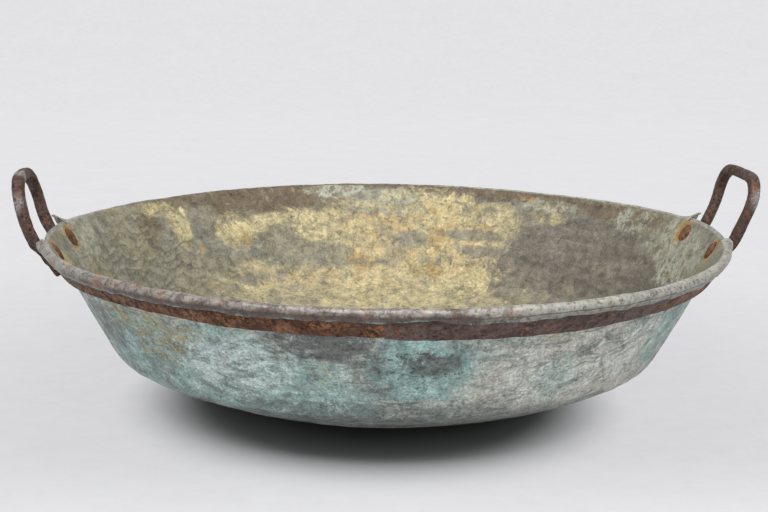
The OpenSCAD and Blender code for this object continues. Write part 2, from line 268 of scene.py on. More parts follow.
def wall_face(s, height):
    """Radius of the wall's outer face below the flare"""
    bend = s.rim_h - s.flare_drop
    return flare_face(s, bend) - (bend - height) * math.tan(s.wall_lean)


def spaced(points, pitch):
    """The same line with a point about every pitch along its straight stretches"""
    line = [points[0]]
    for a, b in zip(points, points[1:]):
        steps = max(1, round((b - a).length / pitch))
        line += [a + (b - a) * i / steps for i in range(1, steps + 1)]
    return line


def sheet_line(s):
    """Section of the sheet's outer face, from the pan's axis to the top of the flare"""
    knee = Vector((wall_face(s, s.knee_h), s.knee_h))
    dome_r = ((knee.x - s.flat_r) ** 2 + s.knee_h ** 2) / (2 * s.knee_h)
    dome = Vector((s.flat_r, dome_r))
    offset = knee - s.knee_r * out_from(s.wall_lean) - dome
    rise = offset.dot(up_along(s.wall_lean))
    slide = -rise - math.sqrt(rise ** 2 - offset.length_squared + (dome_r - s.knee_r) ** 2)
    knee_mid = knee - s.knee_r * out_from(s.wall_lean) + slide * up_along(s.wall_lean)
    knee_start = math.atan2(knee_mid.y - dome.y, knee_mid.x - dome.x)
    bend = s.rim_h - s.flare_drop
    tangent = s.flare_r * math.tan((s.rim_lean - s.wall_lean) / 2)
    flare_mid = (Vector((wall_face(s, bend), bend)) - tangent * up_along(s.wall_lean)
                 + s.flare_r * out_from(s.wall_lean))
    bottom = spaced([Vector((0.0, 0.0)), Vector((s.flat_r, 0.0))], FLAT_PITCH)
    bottom += arc(dome, dome_r, -math.pi / 2, knee_start, DOME_STEPS)[1:]
    knee_arc = arc(knee_mid, s.knee_r, knee_start, -s.wall_lean, KNEE_STEPS)[1:]
    bend_arc = arc(flare_mid, s.flare_r, math.pi - s.wall_lean, math.pi - s.rim_lean, BEND_STEPS)
    wall = spaced([knee_arc[-1], bend_arc[0]], WALL_PITCH)[1:]
    flare = spaced([bend_arc[-1], rim_top(s)], WALL_PITCH)[1:]
    return bottom + knee_arc + wall + bend_arc[1:] + flare


def fold_line(s):
    """Section of the fold's inner face, from the top of the flare to the lip's lower edge"""
    middle = fold_middle(s)
    curve = arc(middle, s.fold_r, math.pi - s.rim_lean, -s.rim_lean, FOLD_STEPS)
    skirt = (s.lip_drop - (s.fold_r + s.sheet) * (1 + math.sin(s.rim_lean))) / math.cos(s.rim_lean)
    return curve[1:] + spaced([curve[-1], curve[-1] - skirt * up_along(s.rim_lean)], LIP_PITCH)[1:]


def leg_turn(s, width):
    """Azimuth of a handle's leg from the handle's own direction"""
    root = (rivet_point(s) + root_rise(s) * up_along(s.rim_lean)
            + root_out(s) * out_from(s.rim_lean))
    return math.asin(width / 2 / root.x)


def rivet_point(s):
    height = s.rim_h - s.rivet_drop
    return Vector((flare_face(s, height), height))


def foot_off(s):
    """How far a foot's back stands off the wall"""
    return s.strap_t + 2 * s.seat


def root_rise(s):
    """How far above its rivet a leg starts"""
    return FOOT_UP + s.fan_l


def root_out(s):
    """How far off the wall the middle of a leg starts"""
    return foot_off(s) + s.bar / 2


def legs(s):
    """Azimuth of each leg, and whether the next ear stands on its side of growing azimuths"""
    right = leg_turn(s, s.right_w)
    left = leg_turn(s, s.left_w)
    return [(right, 1), (-right, -1), (math.pi - left, -1), (-math.pi + left, 1)]


# Unevenness that the pan has from the hammer and from use


def bell(x, middle, half_width):
    """1 at the middle, falling smoothly to 0"""
    gap = (x - middle + 180.0) % 360.0 - 180.0
    return math.exp(-2.0 * (gap / half_width) ** 2)


def smooth(x, low, high):
    t = min(1.0, max(0.0, (x - low) / (high - low)))
    return t * t * (3.0 - 2.0 * t)


def ripple(azimuth, count, seed):
    """A smooth random wave round the rim, from -1 to 1"""
    a = math.radians(azimuth)
    return noise.noise(Vector((math.cos(a) * count, math.sin(a) * count, seed))) * 2.0


def waves(azimuth, ripples):
    """Sum of ripples, each given by its height, count and seed"""
    return sum(height * ripple(azimuth, count, seed) for height, count, seed in ripples)


def swells(azimuth, bells):
    """Sum of bells, each given by its height, middle and half width"""
    return sum(height * bell(azimuth, middle, half_width) for height, middle, half_width in bells)


def uneven(point):
    """The place of a point once the pan is out of true"""
    azimuth = math.degrees(math.atan2(point.y, point.x))
    up = smooth(point.z, 0.06, RIM_H) * (1.0 - smooth(point.z, RIM_H + 0.012, RIM_H + 0.065))
    rise = swells(azimuth, RIM_SWELLS)
    wander = HAMMER_WANDER * ripple(azimuth, 2.0, 3.0) * smooth(point.z, 0.02, 0.12)
    flat = Vector((point.x, point.y, 0.0))
    outward = flat.normalized() if flat.length > 1e-6 else flat
    moved = point + UP * (rise * up) + outward * (wander - HAMMER_WANDER * WANDER_INWARD) * up
    return Vector((moved.x, moved.y, max(moved.z, 0.0)))


def reshape(piece, place):
    """Moves every vertex of a piece to where the given function puts it"""
    for vertex in piece.data.vertices:
        vertex.co = place(vertex.co)
    piece.data.update()


# Modelling steps


def nothing_selected():
    if bpy.context.object and bpy.context.object.mode != "OBJECT":
        bpy.ops.object.mode_set(mode="OBJECT")
    bpy.ops.object.select_all(action="DESELECT")


def pick(piece):
    nothing_selected()
    piece.select_set(True)
    bpy.context.view_layer.objects.active = piece


def draw_line(name, points, closed=False):
    """An edge line through 3-D points, drawn with the extrude tool"""
    nothing_selected()
    bpy.ops.mesh.primitive_plane_add(size=0.001)
    piece = bpy.context.object
    piece.name = name
    piece.data.name = name
    bpy.ops.object.mode_set(mode="EDIT")
    bpy.context.tool_settings.mesh_select_mode = [True, False, False]
    bpy.ops.mesh.select_all(action="SELECT")
    bpy.ops.mesh.merge(type="CENTER")
    bpy.ops.transform.translate(value=points[0])
    path = points + [points[0]] if closed else points
    for a, b in zip(path, path[1:]):
        bpy.ops.mesh.extrude_vertices_move(TRANSFORM_OT_translate={"value": b - a})
    bpy.ops.mesh.select_all(action="SELECT")
    bpy.ops.mesh.remove_doubles(threshold=1e-6)
    return piece


def turn_line(sweep, steps):
    """Spins the line round the pan's axis towards growing azimuths, in edit mode"""
    bpy.ops.mesh.select_all(action="SELECT")
    bpy.ops.mesh.spin(steps=steps, angle=-sweep, center=(0.0, 0.0, 0.0), axis=(0.0, 0.0, 1.0))
    bpy.ops.mesh.select_all(action="SELECT")
    bpy.ops.mesh.remove_doubles(threshold=1e-6)
    bpy.ops.mesh.normals_make_consistent(inside=False)


def select_where(piece, kind, test):
    """Selects the edges or the faces that pass a test, in edit mode"""
    bpy.ops.mesh.select_all(action="DESELECT")
    bpy.context.tool_settings.mesh_select_mode = [False, kind == "EDGE", kind == "FACE"]
    shape = bmesh.from_edit_mesh(piece.data)
    for part in shape.edges if kind == "EDGE" else shape.faces:
        part.select = test(part)
    shape.select_flush_mode()
    bmesh.update_edit_mesh(piece.data)


def apply_modifier(piece, kind, **values):
    pick(piece)
    modifier = piece.modifiers.new(kind.title(), kind)
    for key, value in values.items():
        setattr(modifier, key, value)
    bpy.ops.object.modifier_apply(modifier=modifier.name)


def roughen(piece, name, kind, grain, depth, level=0.6):
    """Presses a pattern of so fine a grain into a piece; depth is from its lows to its highs"""
    texture = bpy.data.textures.new(name, kind)
    texture.noise_scale = grain
    apply_modifier(piece, "DISPLACE", texture=texture, texture_coords="LOCAL", strength=depth,
                   mid_level=level)


def store(piece, name, value_at):
    """Stores a value on each point of a mesh, for its material to read"""
    attribute = piece.data.attributes.new(name, "FLOAT", "POINT")
    attribute.data.foreach_set("value", [value_at(v) for v in piece.data.vertices])


def finish_piece(piece, node, material):
    """Smooths a piece, gives it its finish and lets it stand for its node"""
    pick(piece)
    bpy.ops.object.shade_smooth_by_angle(angle=math.radians(38.0))
    piece.data.materials.clear()
    piece.data.materials.append(material)
    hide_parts(node)
    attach(piece, "root")


def on_flare(s, azimuth, drop):
    """Matrix of a frame on the flare's outer face: X square out of it, Z up it"""
    height = s.rim_h - drop
    turn = Matrix.Rotation(azimuth, 4, "Z")
    place = Matrix.Translation((flare_face(s, height), 0.0, height))
    return turn @ place @ Matrix.Rotation(s.rim_lean, 4, "Y")


# Shader tools


class Wire:
    """A node's output that can be reckoned with: each sign puts a math node into its tree"""

    def __init__(self, tree, socket):
        self.tree = tree
        self.socket = socket

    def __add__(self, other):
        return self.math("ADD", other)

    def __sub__(self, other):
        return self.math("SUBTRACT", other)

    def __rsub__(self, other):
        return reckon(self.tree, "SUBTRACT", other, self)

    def __mul__(self, other):
        return self.math("MULTIPLY", other)

    def __truediv__(self, other):
        return self.math("DIVIDE", other)

    def math(self, operation, *others):
        return reckon(self.tree, operation, self, *others)

    def times_plus(self, factor, extra):
        return self.math("MULTIPLY_ADD", factor, extra)

    def step(self, low, high, to_low=0.0, to_high=1.0):
        """Smooth step from low to high"""
        made = put(self.tree, "ShaderNodeMapRange", {"interpolation_type": "SMOOTHSTEP"}, Value=self,
                   From_Min=low, From_Max=high, To_Min=to_low, To_Max=to_high)
        return Wire(self.tree, made.outputs["Result"])

    def mix(self, a, b):
        """Colour a where this mask is 0, colour b where it is 1"""
        return mixed(self.tree, "MIX", self, a, b)

    def parts(self):
        """X, Y and Z of a vector"""
        return [Wire(self.tree, part) for part in put(self.tree, "ShaderNodeSeparateXYZ", Vector=self).outputs]

    def vector(self, operation, other=(0.0, 0.0, 0.0)):
        made = put(self.tree, "ShaderNodeVectorMath", {"operation": operation}, i0=self, i1=other)
        return Wire(self.tree, made.outputs["Value" if operation in ("LENGTH", "DISTANCE") else "Vector"])

    def mapped(self, **inputs):
        return Wire(self.tree, put(self.tree, "ShaderNodeMapping", Vector=self, **inputs).outputs["Vector"])

    def noise(self, scale, detail=4.0, rough=0.55, warp=0.0, output="Fac"):
        made = put(self.tree, "ShaderNodeTexNoise", Vector=self, Scale=scale, Detail=detail,
                   Roughness=rough, Distortion=warp)
        return Wire(self.tree, made.outputs[output])

    def cells(self, scale, feature="F1", **inputs):
        """Distance to the middles or the edges of scattered cells"""
        made = put(self.tree, "ShaderNodeTexVoronoi", {"feature": feature}, Vector=self, Scale=scale, **inputs)
        return Wire(self.tree, made.outputs["Distance"])

    def shaken(self, scale, detail, reach):
        """The same place, moved about by noise"""
        offset = self.noise(scale, detail, 0.5, output="Color").vector("SUBTRACT", (0.5, 0.5, 0.5))
        return self.vector("ADD", offset.vector("MULTIPLY", (reach, reach, reach)))


def plug(value, socket):
    """Links a wire into a socket, or sets the socket to a number, vector or colour"""
    if isinstance(value, Wire):
        value.tree.links.new(value.socket, socket)
    elif socket.type == "RGBA":
        socket.default_value = (*value[:3], 1.0)
    else:
        socket.default_value = value


def put(tree, kind, settings=None, **inputs):
    """Adds a node; its inputs go by name, or by number as i0, i1 and so on"""
    made = tree.nodes.new(kind)
    for key, value in (settings or {}).items():
        setattr(made, key, value)
    for key, value in inputs.items():
        numbered = key[0] == "i" and key[1:].isdigit()
        plug(value, made.inputs[int(key[1:]) if numbered else key.replace("_", " ")])
    return made


def reckon(tree, operation, *values):
    inputs = {f"i{index}": value for index, value in enumerate(values)}
    return Wire(tree, put(tree, "ShaderNodeMath", {"operation": operation}, **inputs).outputs[0])


def mixed(tree, mode, amount, a, b):
    made = put(tree, "ShaderNodeMix", {"data_type": "RGBA", "blend_type": mode}, i0=amount, i6=a, i7=b)
    return Wire(tree, made.outputs[2])


def distance_of(tree, across, above):
    """Distance from the middle, from how far a place lies across and above it"""
    return Wire(tree, put(tree, "ShaderNodeCombineXYZ", X=across, Y=above).outputs[0]).vector("LENGTH")


def stored(tree, name):
    """A value stored on the mesh's points"""
    return Wire(tree, put(tree, "ShaderNodeAttribute", {"attribute_name": name}).outputs["Fac"])


def new_group(name, **inputs):
    """An empty shader group and the wires of its inputs, each given by its default or its kind"""
    tree = bpy.data.node_groups.new(name, "ShaderNodeTree")
    for key, default in inputs.items():
        kind = default if isinstance(default, str) else "Float"
        socket = tree.interface.new_socket(key.replace("_", " "), in_out="INPUT",
                                           socket_type="NodeSocket" + kind)
        if kind == "Float":
            socket.default_value = default
    start = tree.nodes.new("NodeGroupInput")
    return tree, {socket.name: Wire(tree, socket) for socket in start.outputs}


def close_group(tree, **results):
    """Gives a group its outputs"""
    kinds = {"VALUE": "NodeSocketFloat", "RGBA": "NodeSocketColor"}
    for key, wire in results.items():
        tree.interface.new_socket(key.replace("_", " "), in_out="OUTPUT", socket_type=kinds[wire.socket.type])
    end = tree.nodes.new("NodeGroupOutput")
    for key, wire in results.items():
        plug(wire, end.inputs[key.replace("_", " ")])


# Shader groups that the materials share


def pan_map_group(name):
    """Azimuth in degrees and height in metres of a place on the pan"""
    tree, get = new_group(name, Position="Vector")
    x, y, z = get["Position"].parts()
    close_group(tree, Azimuth=y.math("ARCTAN2", x) * math.degrees(1.0), Height=z)


def patch_group(name):
    """Mask of one ragged patch round an azimuth and a height"""
    tree, get = new_group(name, Azimuth=0.0, Height=0.0, Rag=0.5, Middle=0.0, Level=0.1, Half_width=10.0,
                          Half_height=0.03, Raggedness=1.0, Softness=0.25)
    across = (get["Azimuth"] - get["Middle"]) / get["Half width"]
    above = (get["Height"] - get["Level"]) / get["Half height"]
    edge = distance_of(tree, across, above) + (get["Rag"] - 0.5) * get["Raggedness"]
    close_group(tree, Mask=edge.step(1.0 - get["Softness"], get["Softness"] + 1.0, 1.0, 0.0))


def blotch_group(name):
    """Mask of flaky blotches that cover a given share of the surface"""
    tree, get = new_group(name, Vector="Vector", Scale=20.0, Cover=0.5, Softness=0.05, Roughness=0.6, Warp=0.4)
    cloud = get["Vector"].noise(get["Scale"], 6.0, get["Roughness"], get["Warp"])
    level = get["Cover"].times_plus(-0.5, 0.75)
    close_group(tree, Mask=cloud.step(level - get["Softness"], level + get["Softness"]))


def pitting_group(name):
    """Height of the pits and the scale on rusted iron, and a mask of each"""
    tree, get = new_group(name, Vector="Vector", Scale=300.0, Depth=1.0)
    place, scale = get["Vector"], get["Scale"]
    fine = place.noise(scale, 5.0, 0.65)
    coarse = place.noise(scale * 0.22, 4.0, 0.6, 0.6)
    pits = place.cells(scale * 0.8).step(0.05, 0.40, 1.0, 0.0) * coarse.step(0.42, 0.60)
    height = (fine * 0.5 + coarse - pits * 0.6) * get["Depth"]
    close_group(tree, Height=height, Pits=pits, Scale_mask=coarse.step(0.40, 0.62))


def hammer_group(name):
    """Height of overlapping hammer marks"""
    tree, get = new_group(name, Vector="Vector", Scale=60.0)
    moved = get["Vector"].shaken(get["Scale"] * 0.4, 2.0, 0.012)
    close_group(tree, Height=moved.cells(get["Scale"], "SMOOTH_F1", Smoothness=0.35))


def grain_group(name):
    """A colour made lighter and darker by stains and by a fine grain"""
    tree, get = new_group(name, Color="Color", Vector="Vector", Scale=60.0, Stains=1.0, Amount=1.0)
    stain = get["Vector"].noise(get["Scale"], 6.0, 0.68, 0.5)
    fine = get["Vector"].noise(get["Scale"] * 4.5, 5.0, 0.75)
    shade = (stain - 0.5) * get["Stains"] + (fine - 0.5) * get["Amount"]
    shade = shade.times_plus(2.4, 1.0).math("MAXIMUM", 0.25)
    grey = Wire(tree, put(tree, "ShaderNodeCombineColor", Red=shade, Green=shade, Blue=shade).outputs[0])
    close_group(tree, Color=mixed(tree, "MULTIPLY", 1.0, get["Color"], grey))


def dimple_group(name):
    """Painted shade across each dimple of the hammered rows, and the mask of the rims between the dimples, for
    painted shade
    """
    tree, get = new_group(name, Azimuth=0.0, Height=0.0)
    azimuth, height = get["Azimuth"], get["Height"]

    def wave(by_azimuth, by_height):
        return (azimuth * by_azimuth + height * by_height).math("SINE") * DIMPLE_WARP

    row = height / DIMPLE_H + wave(*ROW_WAVE)
    column = azimuth / DIMPLE_TURN + wave(*COLUMN_WAVE)
    column = row.math("FLOOR").math("FLOORED_MODULO", 2.0).times_plus(0.5, column)
    above = row.math("FRACT") - 0.5
    reach = distance_of(tree, column.math("FRACT") - 0.5, above)
    close_group(tree, Shade=above * 2.0, Rim=reach.step(0.40, 0.54))


def crack_group(name):
    """Mask of broken lines round scale-like marks"""
    tree, get = new_group(name, Vector="Vector", Scale=50.0)
    place, scale = get["Vector"], get["Scale"]
    edges = place.shaken(scale * 0.8, 4.0, 0.016).cells(scale, "DISTANCE_TO_EDGE")
    close_group(tree, Mask=edges.step(0.015, 0.09, 1.0, 0.0) * place.noise(scale, 5.0, 0.7).step(0.44, 0.58))


GROUPS = {"Pan map": pan_map_group, "Patch": patch_group, "Blotches": blotch_group,
          "Rust pitting": pitting_group, "Hammer marks": hammer_group, "Grain": grain_group,
          "Dimple rows": dimple_group, "Scale edges": crack_group}


def use(tree, name, **inputs):
    """Places a shared group, made when it is first used; returns the wires of its outputs"""
    if name not in bpy.data.node_groups:
        GROUPS[name](name)
    placed = put(tree, "ShaderNodeGroup", {"node_tree": bpy.data.node_groups[name]}, **inputs)
    return {socket.name: Wire(tree, socket) for socket in placed.outputs}


# Materials


def new_material(name):
    """Makes a material; returns its tree, its Principled shader and its object coordinates"""
    material = bpy.data.materials.new(name)
    material.use_nodes = True
    tree = material.node_tree
    tree.nodes.clear()
    end = tree.nodes.new("ShaderNodeOutputMaterial")
    shader = tree.nodes.new("ShaderNodeBsdfPrincipled")
    tree.links.new(shader.outputs[0], end.inputs[0])
    place = Wire(tree, tree.nodes.new("ShaderNodeTexCoord").outputs["Object"])
    return tree, shader, place


def finish_shader(tree, shader, skin, rough, metallic, height, depth, strength):
    """Colour, gloss and relief of a metal's surface; depth is the relief's, in metres"""
    plug(skin, shader.inputs["Base Color"])
    plug(rough, shader.inputs["Roughness"])
    shader.inputs["Metallic"].default_value = metallic
    bump = put(tree, "ShaderNodeBump", Height=height, Distance=depth, Strength=strength)
    tree.links.new(bump.outputs[0], shader.inputs["Normal"])


def tinted(base, *factors):
    """A colour times one factor, or times a factor for each channel"""
    by_channel = factors if len(factors) == 3 else factors * 3
    return tuple(min(1.0, value * factor) for value, factor in zip(base, by_channel))


def layered(base, layers):
    """Lays colours over a base, each through its mask"""
    for mask, over in layers:
        base = mask.mix(base, over)
    return base


def grained(base, place, scale, stains, amount):
    """A colour with the shared grain; stains and amount are the strength of its broad and fine parts"""
    return use(place.tree, "Grain", Color=base, Vector=place, Scale=scale, Stains=stains,
               Amount=amount)["Color"]


def patches_mask(here, rag, patches, raggedness=2.8):
    """Mask of several listed patches; where they overlap, the strongest counts"""
    total = None
    for middle, level, half_w, half_h, strength in patches:
        one = use(rag.tree, "Patch", Azimuth=here["Azimuth"], Height=here["Height"], Rag=rag,
                  Middle=middle, Level=level, Half_width=half_w, Half_height=half_h,
                  Raggedness=raggedness, Softness=PATCH_SOFTNESS)["Mask"] * strength
        total = total.math("MAXIMUM", one) if total else one
    return total


# Patches: azimuth and height of the middle, half width in degrees, half height, strength
INSIDE_UMBER = [(33.0, 0.126, 21.0, 0.058, 1.0), (52.0, 0.104, 13.0, 0.034, 1.0),
                (22.0, 0.100, 20.0, 0.050, 0.8), (66.0, 0.176, 14.0, 0.012, 0.8),
                (58.0, 0.082, 14.0, 0.026, 0.9), (16.0, 0.112, 16.0, 0.030, 0.9)]
INSIDE_PLUM = [(112.0, 0.176, 16.0, 0.017, 1.0), (130.0, 0.182, 12.0, 0.010, 0.8),
               (98.0, 0.192, 30.0, 0.007, 0.9), (60.0, 0.188, 24.0, 0.010, 1.0),
               (144.0, 0.158, 3.0, 0.020, 0.7), (30.0, 0.182, 14.0, 0.010, 0.8),
               (-88.0, 0.186, 34.0, 0.010, 0.8), (-132.0, 0.172, 12.0, 0.016, 0.8)]
INSIDE_CREAM = [(80.0, 0.150, 17.0, 0.034, 1.0), (99.0, 0.140, 12.0, 0.022, 1.0),
                (121.0, 0.136, 6.0, 0.022, 1.0), (111.0, 0.150, 8.0, 0.008, 0.9),
                (135.5, 0.156, 2.6, 0.024, 1.0), (141.0, 0.178, 4.0, 0.008, 0.8),
                (92.0, 0.066, 34.0, 0.020, 0.8), (96.0, 0.044, 44.0, 0.020, 0.75),
                (70.0, 0.095, 12.0, 0.050, 1.0), (60.0, 0.150, 5.0, 0.026, 0.75),
                (88.0, 0.110, 12.0, 0.018, 0.9), (48.0, 0.166, 4.0, 0.012, 0.6),
                (118.0, 0.090, 8.0, 0.012, 0.8), (-92.0, 0.070, 38.0, 0.022, 0.8),
                (-60.0, 0.120, 18.0, 0.030, 0.8), (-112.0, 0.140, 14.0, 0.022, 0.8),
                (-146.0, 0.110, 8.0, 0.030, 0.7)]
INSIDE_BARE = [(113.0, 0.112, 6.5, 0.022, 1.0), (101.0, 0.102, 6.0, 0.014, 0.8),
               (80.0, 0.120, 3.0, 0.012, 0.9), (66.0, 0.130, 7.0, 0.007, 0.9),
               (62.0, 0.110, 6.0, 0.007, 0.8), (84.0, 0.098, 3.0, 0.012, 0.6)]
INSIDE_MINT = [(-30.0, 0.165, 12.0, 0.026, 0.8), (97.0, 0.186, 6.0, 0.010, 0.9),
               (86.0, 0.176, 6.0, 0.012, 0.5), (29.0, 0.178, 2.5, 0.014, 0.9),
               (24.0, 0.178, 2.5, 0.012, 0.8), (6.0, 0.164, 12.0, 0.026, 0.7),
               (5.0, 0.142, 7.0, 0.020, 1.0), (50.0, 0.178, 8.0, 0.008, 0.6),
               (170.0, 0.170, 8.0, 0.030, 0.6)]
INSIDE_RUST = [(120.0, 0.126, 1.0, 0.010, 0.8), (104.0, 0.140, 0.7, 0.010, 0.3),
               (132.0, 0.122, 1.0, 0.005, 0.8), (74.0, 0.082, 2.4, 0.010, 0.8),
               (74.0, 0.126, 2.0, 0.010, 0.6), (92.0, 0.088, 2.6, 0.014, 0.8),
               (54.5, 0.184, 1.6, 0.004, 1.0), (5.0, 0.134, 0.8, 0.004, 1.0)]
INSIDE_BLOOM = [(82.0, 0.100, 14.0, 0.030, 1.0), (78.0, 0.140, 16.0, 0.030, 0.9),
                (102.0, 0.070, 20.0, 0.010, 0.6)]
INSIDE_SCALES = [(158.0, 0.122, 24.0, 0.044, 1.0), (138.0, 0.100, 16.0, 0.032, 0.8)]
INSIDE_CRACKS = [(150.0, 0.125, 24.0, 0.040, 0.8), (30.0, 0.125, 30.0, 0.050, 1.0),
                 (106.0, 0.120, 12.0, 0.030, 0.6)]
RIVET_HALOS = [(9.3, 0.185, 2.4, 0.0160, 1.0), (-9.0, 0.185, 2.4, 0.0160, 1.0),
               (172.6, 0.178, 2.5, 0.0165, 1.0), (-172.6, 0.178, 2.5, 0.0165, 1.0),
               (-176.0, 0.158, 1.6, 0.014, 0.8)]
RIVET_STAINS = [(9.3, 0.185, 2.0, 0.0132, 1.0), (-9.0, 0.185, 2.0, 0.0132, 1.0),
                (172.6, 0.178, 2.0, 0.0135, 1.0), (-172.6, 0.178, 2.0, 0.0135, 1.0)]
OUTSIDE_VERDIGRIS = [(-88.0, 0.122, 8.5, 0.038, 1.0), (-118.0, 0.095, 18.0, 0.045, 0.9),
                     (-140.0, 0.100, 16.0, 0.055, 0.8), (-120.0, 0.132, 9.0, 0.028, 0.9),
                     (-104.0, 0.085, 10.0, 0.026, 0.8), (-36.0, 0.128, 6.0, 0.045, 0.8),
                     (-64.0, 0.100, 4.0, 0.030, 0.5), (60.0, 0.110, 40.0, 0.050, 0.8),
                     (140.0, 0.100, 30.0, 0.050, 0.8)]
OUTSIDE_BONE = [(-62.0, 0.112, 17.0, 0.060, 1.0), (-42.0, 0.100, 10.0, 0.050, 0.8),
                (20.0, 0.110, 20.0, 0.050, 0.7), (100.0, 0.090, 20.0, 0.040, 0.7)]
OUTSIDE_SLATE = [(-103.0, 0.150, 8.0, 0.016, 1.0), (-90.0, 0.052, 40.0, 0.016, 0.8),
                 (-95.0, 0.070, 26.0, 0.012, 0.6), (-86.0, 0.128, 4.0, 0.012, 0.9),
                 (-150.0, 0.125, 5.0, 0.030, 0.6), (-96.0, 0.110, 3.0, 0.030, 0.5),
                 (-62.0, 0.060, 16.0, 0.010, 0.6)]
OUTSIDE_HAZE = [(-120.0, 0.116, 12.0, 0.036, 1.0), (-70.0, 0.112, 5.0, 0.040, 0.6),
                (-58.0, 0.118, 5.0, 0.040, 0.5), (-46.0, 0.124, 7.0, 0.034, 0.7)]
OUTSIDE_SPECKS = [(-88.0, 0.126, 8.0, 0.018, 1.0), (-80.0, 0.140, 4.0, 0.016, 0.7),
                  (-98.0, 0.140, 6.0, 0.014, 0.6)]
OUTSIDE_OLIVE = [(-136.0, 0.145, 14.0, 0.018, 1.0), (-135.0, 0.124, 7.0, 0.030, 0.9),
                 (-72.0, 0.156, 9.0, 0.006, 0.8), (-104.0, 0.118, 1.6, 0.016, 0.7)]


def copper_inside(c, place, here):
    """Colour of the bowl's inside, and the mask of its crust"""
    rag = place.noise(26.0, 8.0, 0.74, 1.0)
    tone = place.noise(9.0, 8.0, 0.70, 0.6)
    flecks = place.noise(80.0, 8.0, 0.78, 0.5)
    stains = place.noise(34.0, 8.0, 0.74, 1.0)
    bands = place.mapped(Scale=(15.0, 15.0, 70.0)).noise(1.0, 8.0, 0.72, 0.7)

    def zone(patches, *raggedness):
        return patches_mask(here, rag, patches, *raggedness)

    # Dull patina all over, grey at the right, brown under the back rim
    dark_ash = tinted(c.ash, 0.52)
    base = tone.step(0.40, 0.60).mix(c.khaki, c.ash)
    base = layered(base, [(stains.step(0.50, 0.60) * 0.50, dark_ash), (flecks.step(0.55, 0.64) * 0.40, c.mint)])
    umber = bands.step(0.42, 0.58).mix(c.umber, tinted(c.umber, 1.45))
    plum = zone(INSIDE_PLUM) * flecks.step(0.34, 0.46) * 0.92

    # Crust, broken where it has flaked off, with tan blooms and pale flecks in it
    left_on = 1.0 - stains.step(0.46, 0.40) * 0.75
    cream = zone(INSIDE_CREAM) * (1.0 - zone(INSIDE_BARE)) * left_on * flecks.step(0.38, 0.47)
    cream = cream * bands.step(0.40, 0.49).times_plus(0.5, 0.5)
    bloom = zone(INSIDE_BLOOM) * stains.step(0.44, 0.56) * 0.75
    crust = tone.step(0.42, 0.60).mix(c.cream, tinted(c.cream, 0.82))
    crust = layered(crust, [(bloom, tinted(c.cream, 0.82, 0.68, 0.55)),
                            (flecks.step(0.56, 0.66) * 0.5, tinted(c.cream, 1.25))])
    mint = zone(INSIDE_MINT) * flecks.step(0.42, 0.52) * 0.95
    stain = zone(INSIDE_RUST, 1.6) * flecks.step(0.40, 0.54) * 0.75
    base = layered(base, [(zone(INSIDE_UMBER) * 0.92, umber), (plum, c.plum), (cream, crust), (mint, c.mint),
                          (stain, tinted(c.rust, 1.0, 1.35, 1.30)),
                          (zone(RIVET_HALOS, 0.7) * flecks.step(0.36, 0.48) * 0.8, c.halo),
                          (zone(RIVET_STAINS, 0.5) * flecks.step(0.34, 0.50) * 0.9, c.rust)])
    skin = grained(base, place, 70.0, 0.85, 0.85)

    # The hammered rows at the left, with a painted highlight on one side of each dimple and painted shade on
    # the rims between them, and the scale-like marks
    rows = use(place.tree, "Dimple rows", Azimuth=here["Azimuth"], Height=here["Height"])
    beaten = zone(INSIDE_SCALES, 1.0)
    rim = rows["Rim"] * beaten * flecks.step(0.42, 0.56) * 0.55
    painted_dimple_highlight = rows["Shade"].step(0.3, -0.6) * beaten * (1.0 - rows["Rim"]) * stains.step(0.42, 0.56) * 0.45
    cracks = use(place.tree, "Scale edges", Vector=place, Scale=46.0)["Mask"] * zone(INSIDE_CRACKS, 1.0) * 0.45
    return layered(skin, [(rim, tinted(c.ash, 0.42)), (painted_dimple_highlight, c.mint), (cracks, dark_ash)]), cream


def copper_outside(c, place, here):
    """Colour of the bowl's outside"""
    rag = place.noise(15.0, 8.0, 0.74, 1.0)
    grain = place.noise(90.0, 9.0, 0.80, 0.5)
    clouds = place.noise(32.0, 8.0, 0.72, 0.8)
    leftward = place.parts()[0].step(-0.02, 0.14, 1.0, 0.0)
    streaks = [place.mapped(Rotation=(0.0, slant, 0.0), Scale=(18.0, 42.0, 80.0)).noise(1.0, 9.0, 0.76, 0.6)
               for slant in (STREAK_SLANT, -STREAK_SLANT)]
    streak = Wire(place.tree, put(place.tree, "ShaderNodeMix", {"data_type": "FLOAT"}, i0=leftward,
                                  i2=streaks[0], i3=streaks[1]).outputs[0])

    def zone(patches, *raggedness):
        return patches_mask(here, rag, patches, *raggedness)

    base = streak.step(0.42, 0.55).mix(tinted(c.sage, 0.50), c.sage)
    bone = zone(OUTSIDE_BONE) * streak.step(0.38, 0.52) * 0.92
    streaked = streak.step(0.40, 0.52).times_plus(0.7, 0.3)
    green = zone(OUTSIDE_VERDIGRIS) * grain.step(0.37, 0.50) * streaked * 0.9
    deep = clouds.step(0.42, 0.58).mix(tinted(c.verdigris, 0.7), c.verdigris)
    dark = zone(OUTSIDE_SLATE) * grain.step(0.34, 0.48) * 0.85
    haze = zone(OUTSIDE_HAZE) * streak.step(0.40, 0.56) * 0.6
    white = grain.step(0.52, 0.62) * clouds.step(0.48, 0.58) * 0.65
    olive = zone(OUTSIDE_OLIVE) * streak.step(0.48, 0.55) * 0.8
    smudge = clouds.step(0.44, 0.36) * grain.step(0.54, 0.44) * 0.50
    specks = zone(OUTSIDE_SPECKS, 1.6) * grain.step(0.46, 0.42) * 0.85
    base = layered(base, [(bone, c.bone), (green, deep), (dark, c.slate), (haze, c.chalk), (white, c.chalk),
                          (olive, c.olive), (smudge, c.slate), (specks, tinted(c.slate, 0.4))])
    return grained(base, place, 80.0, 0.8, 1.15)


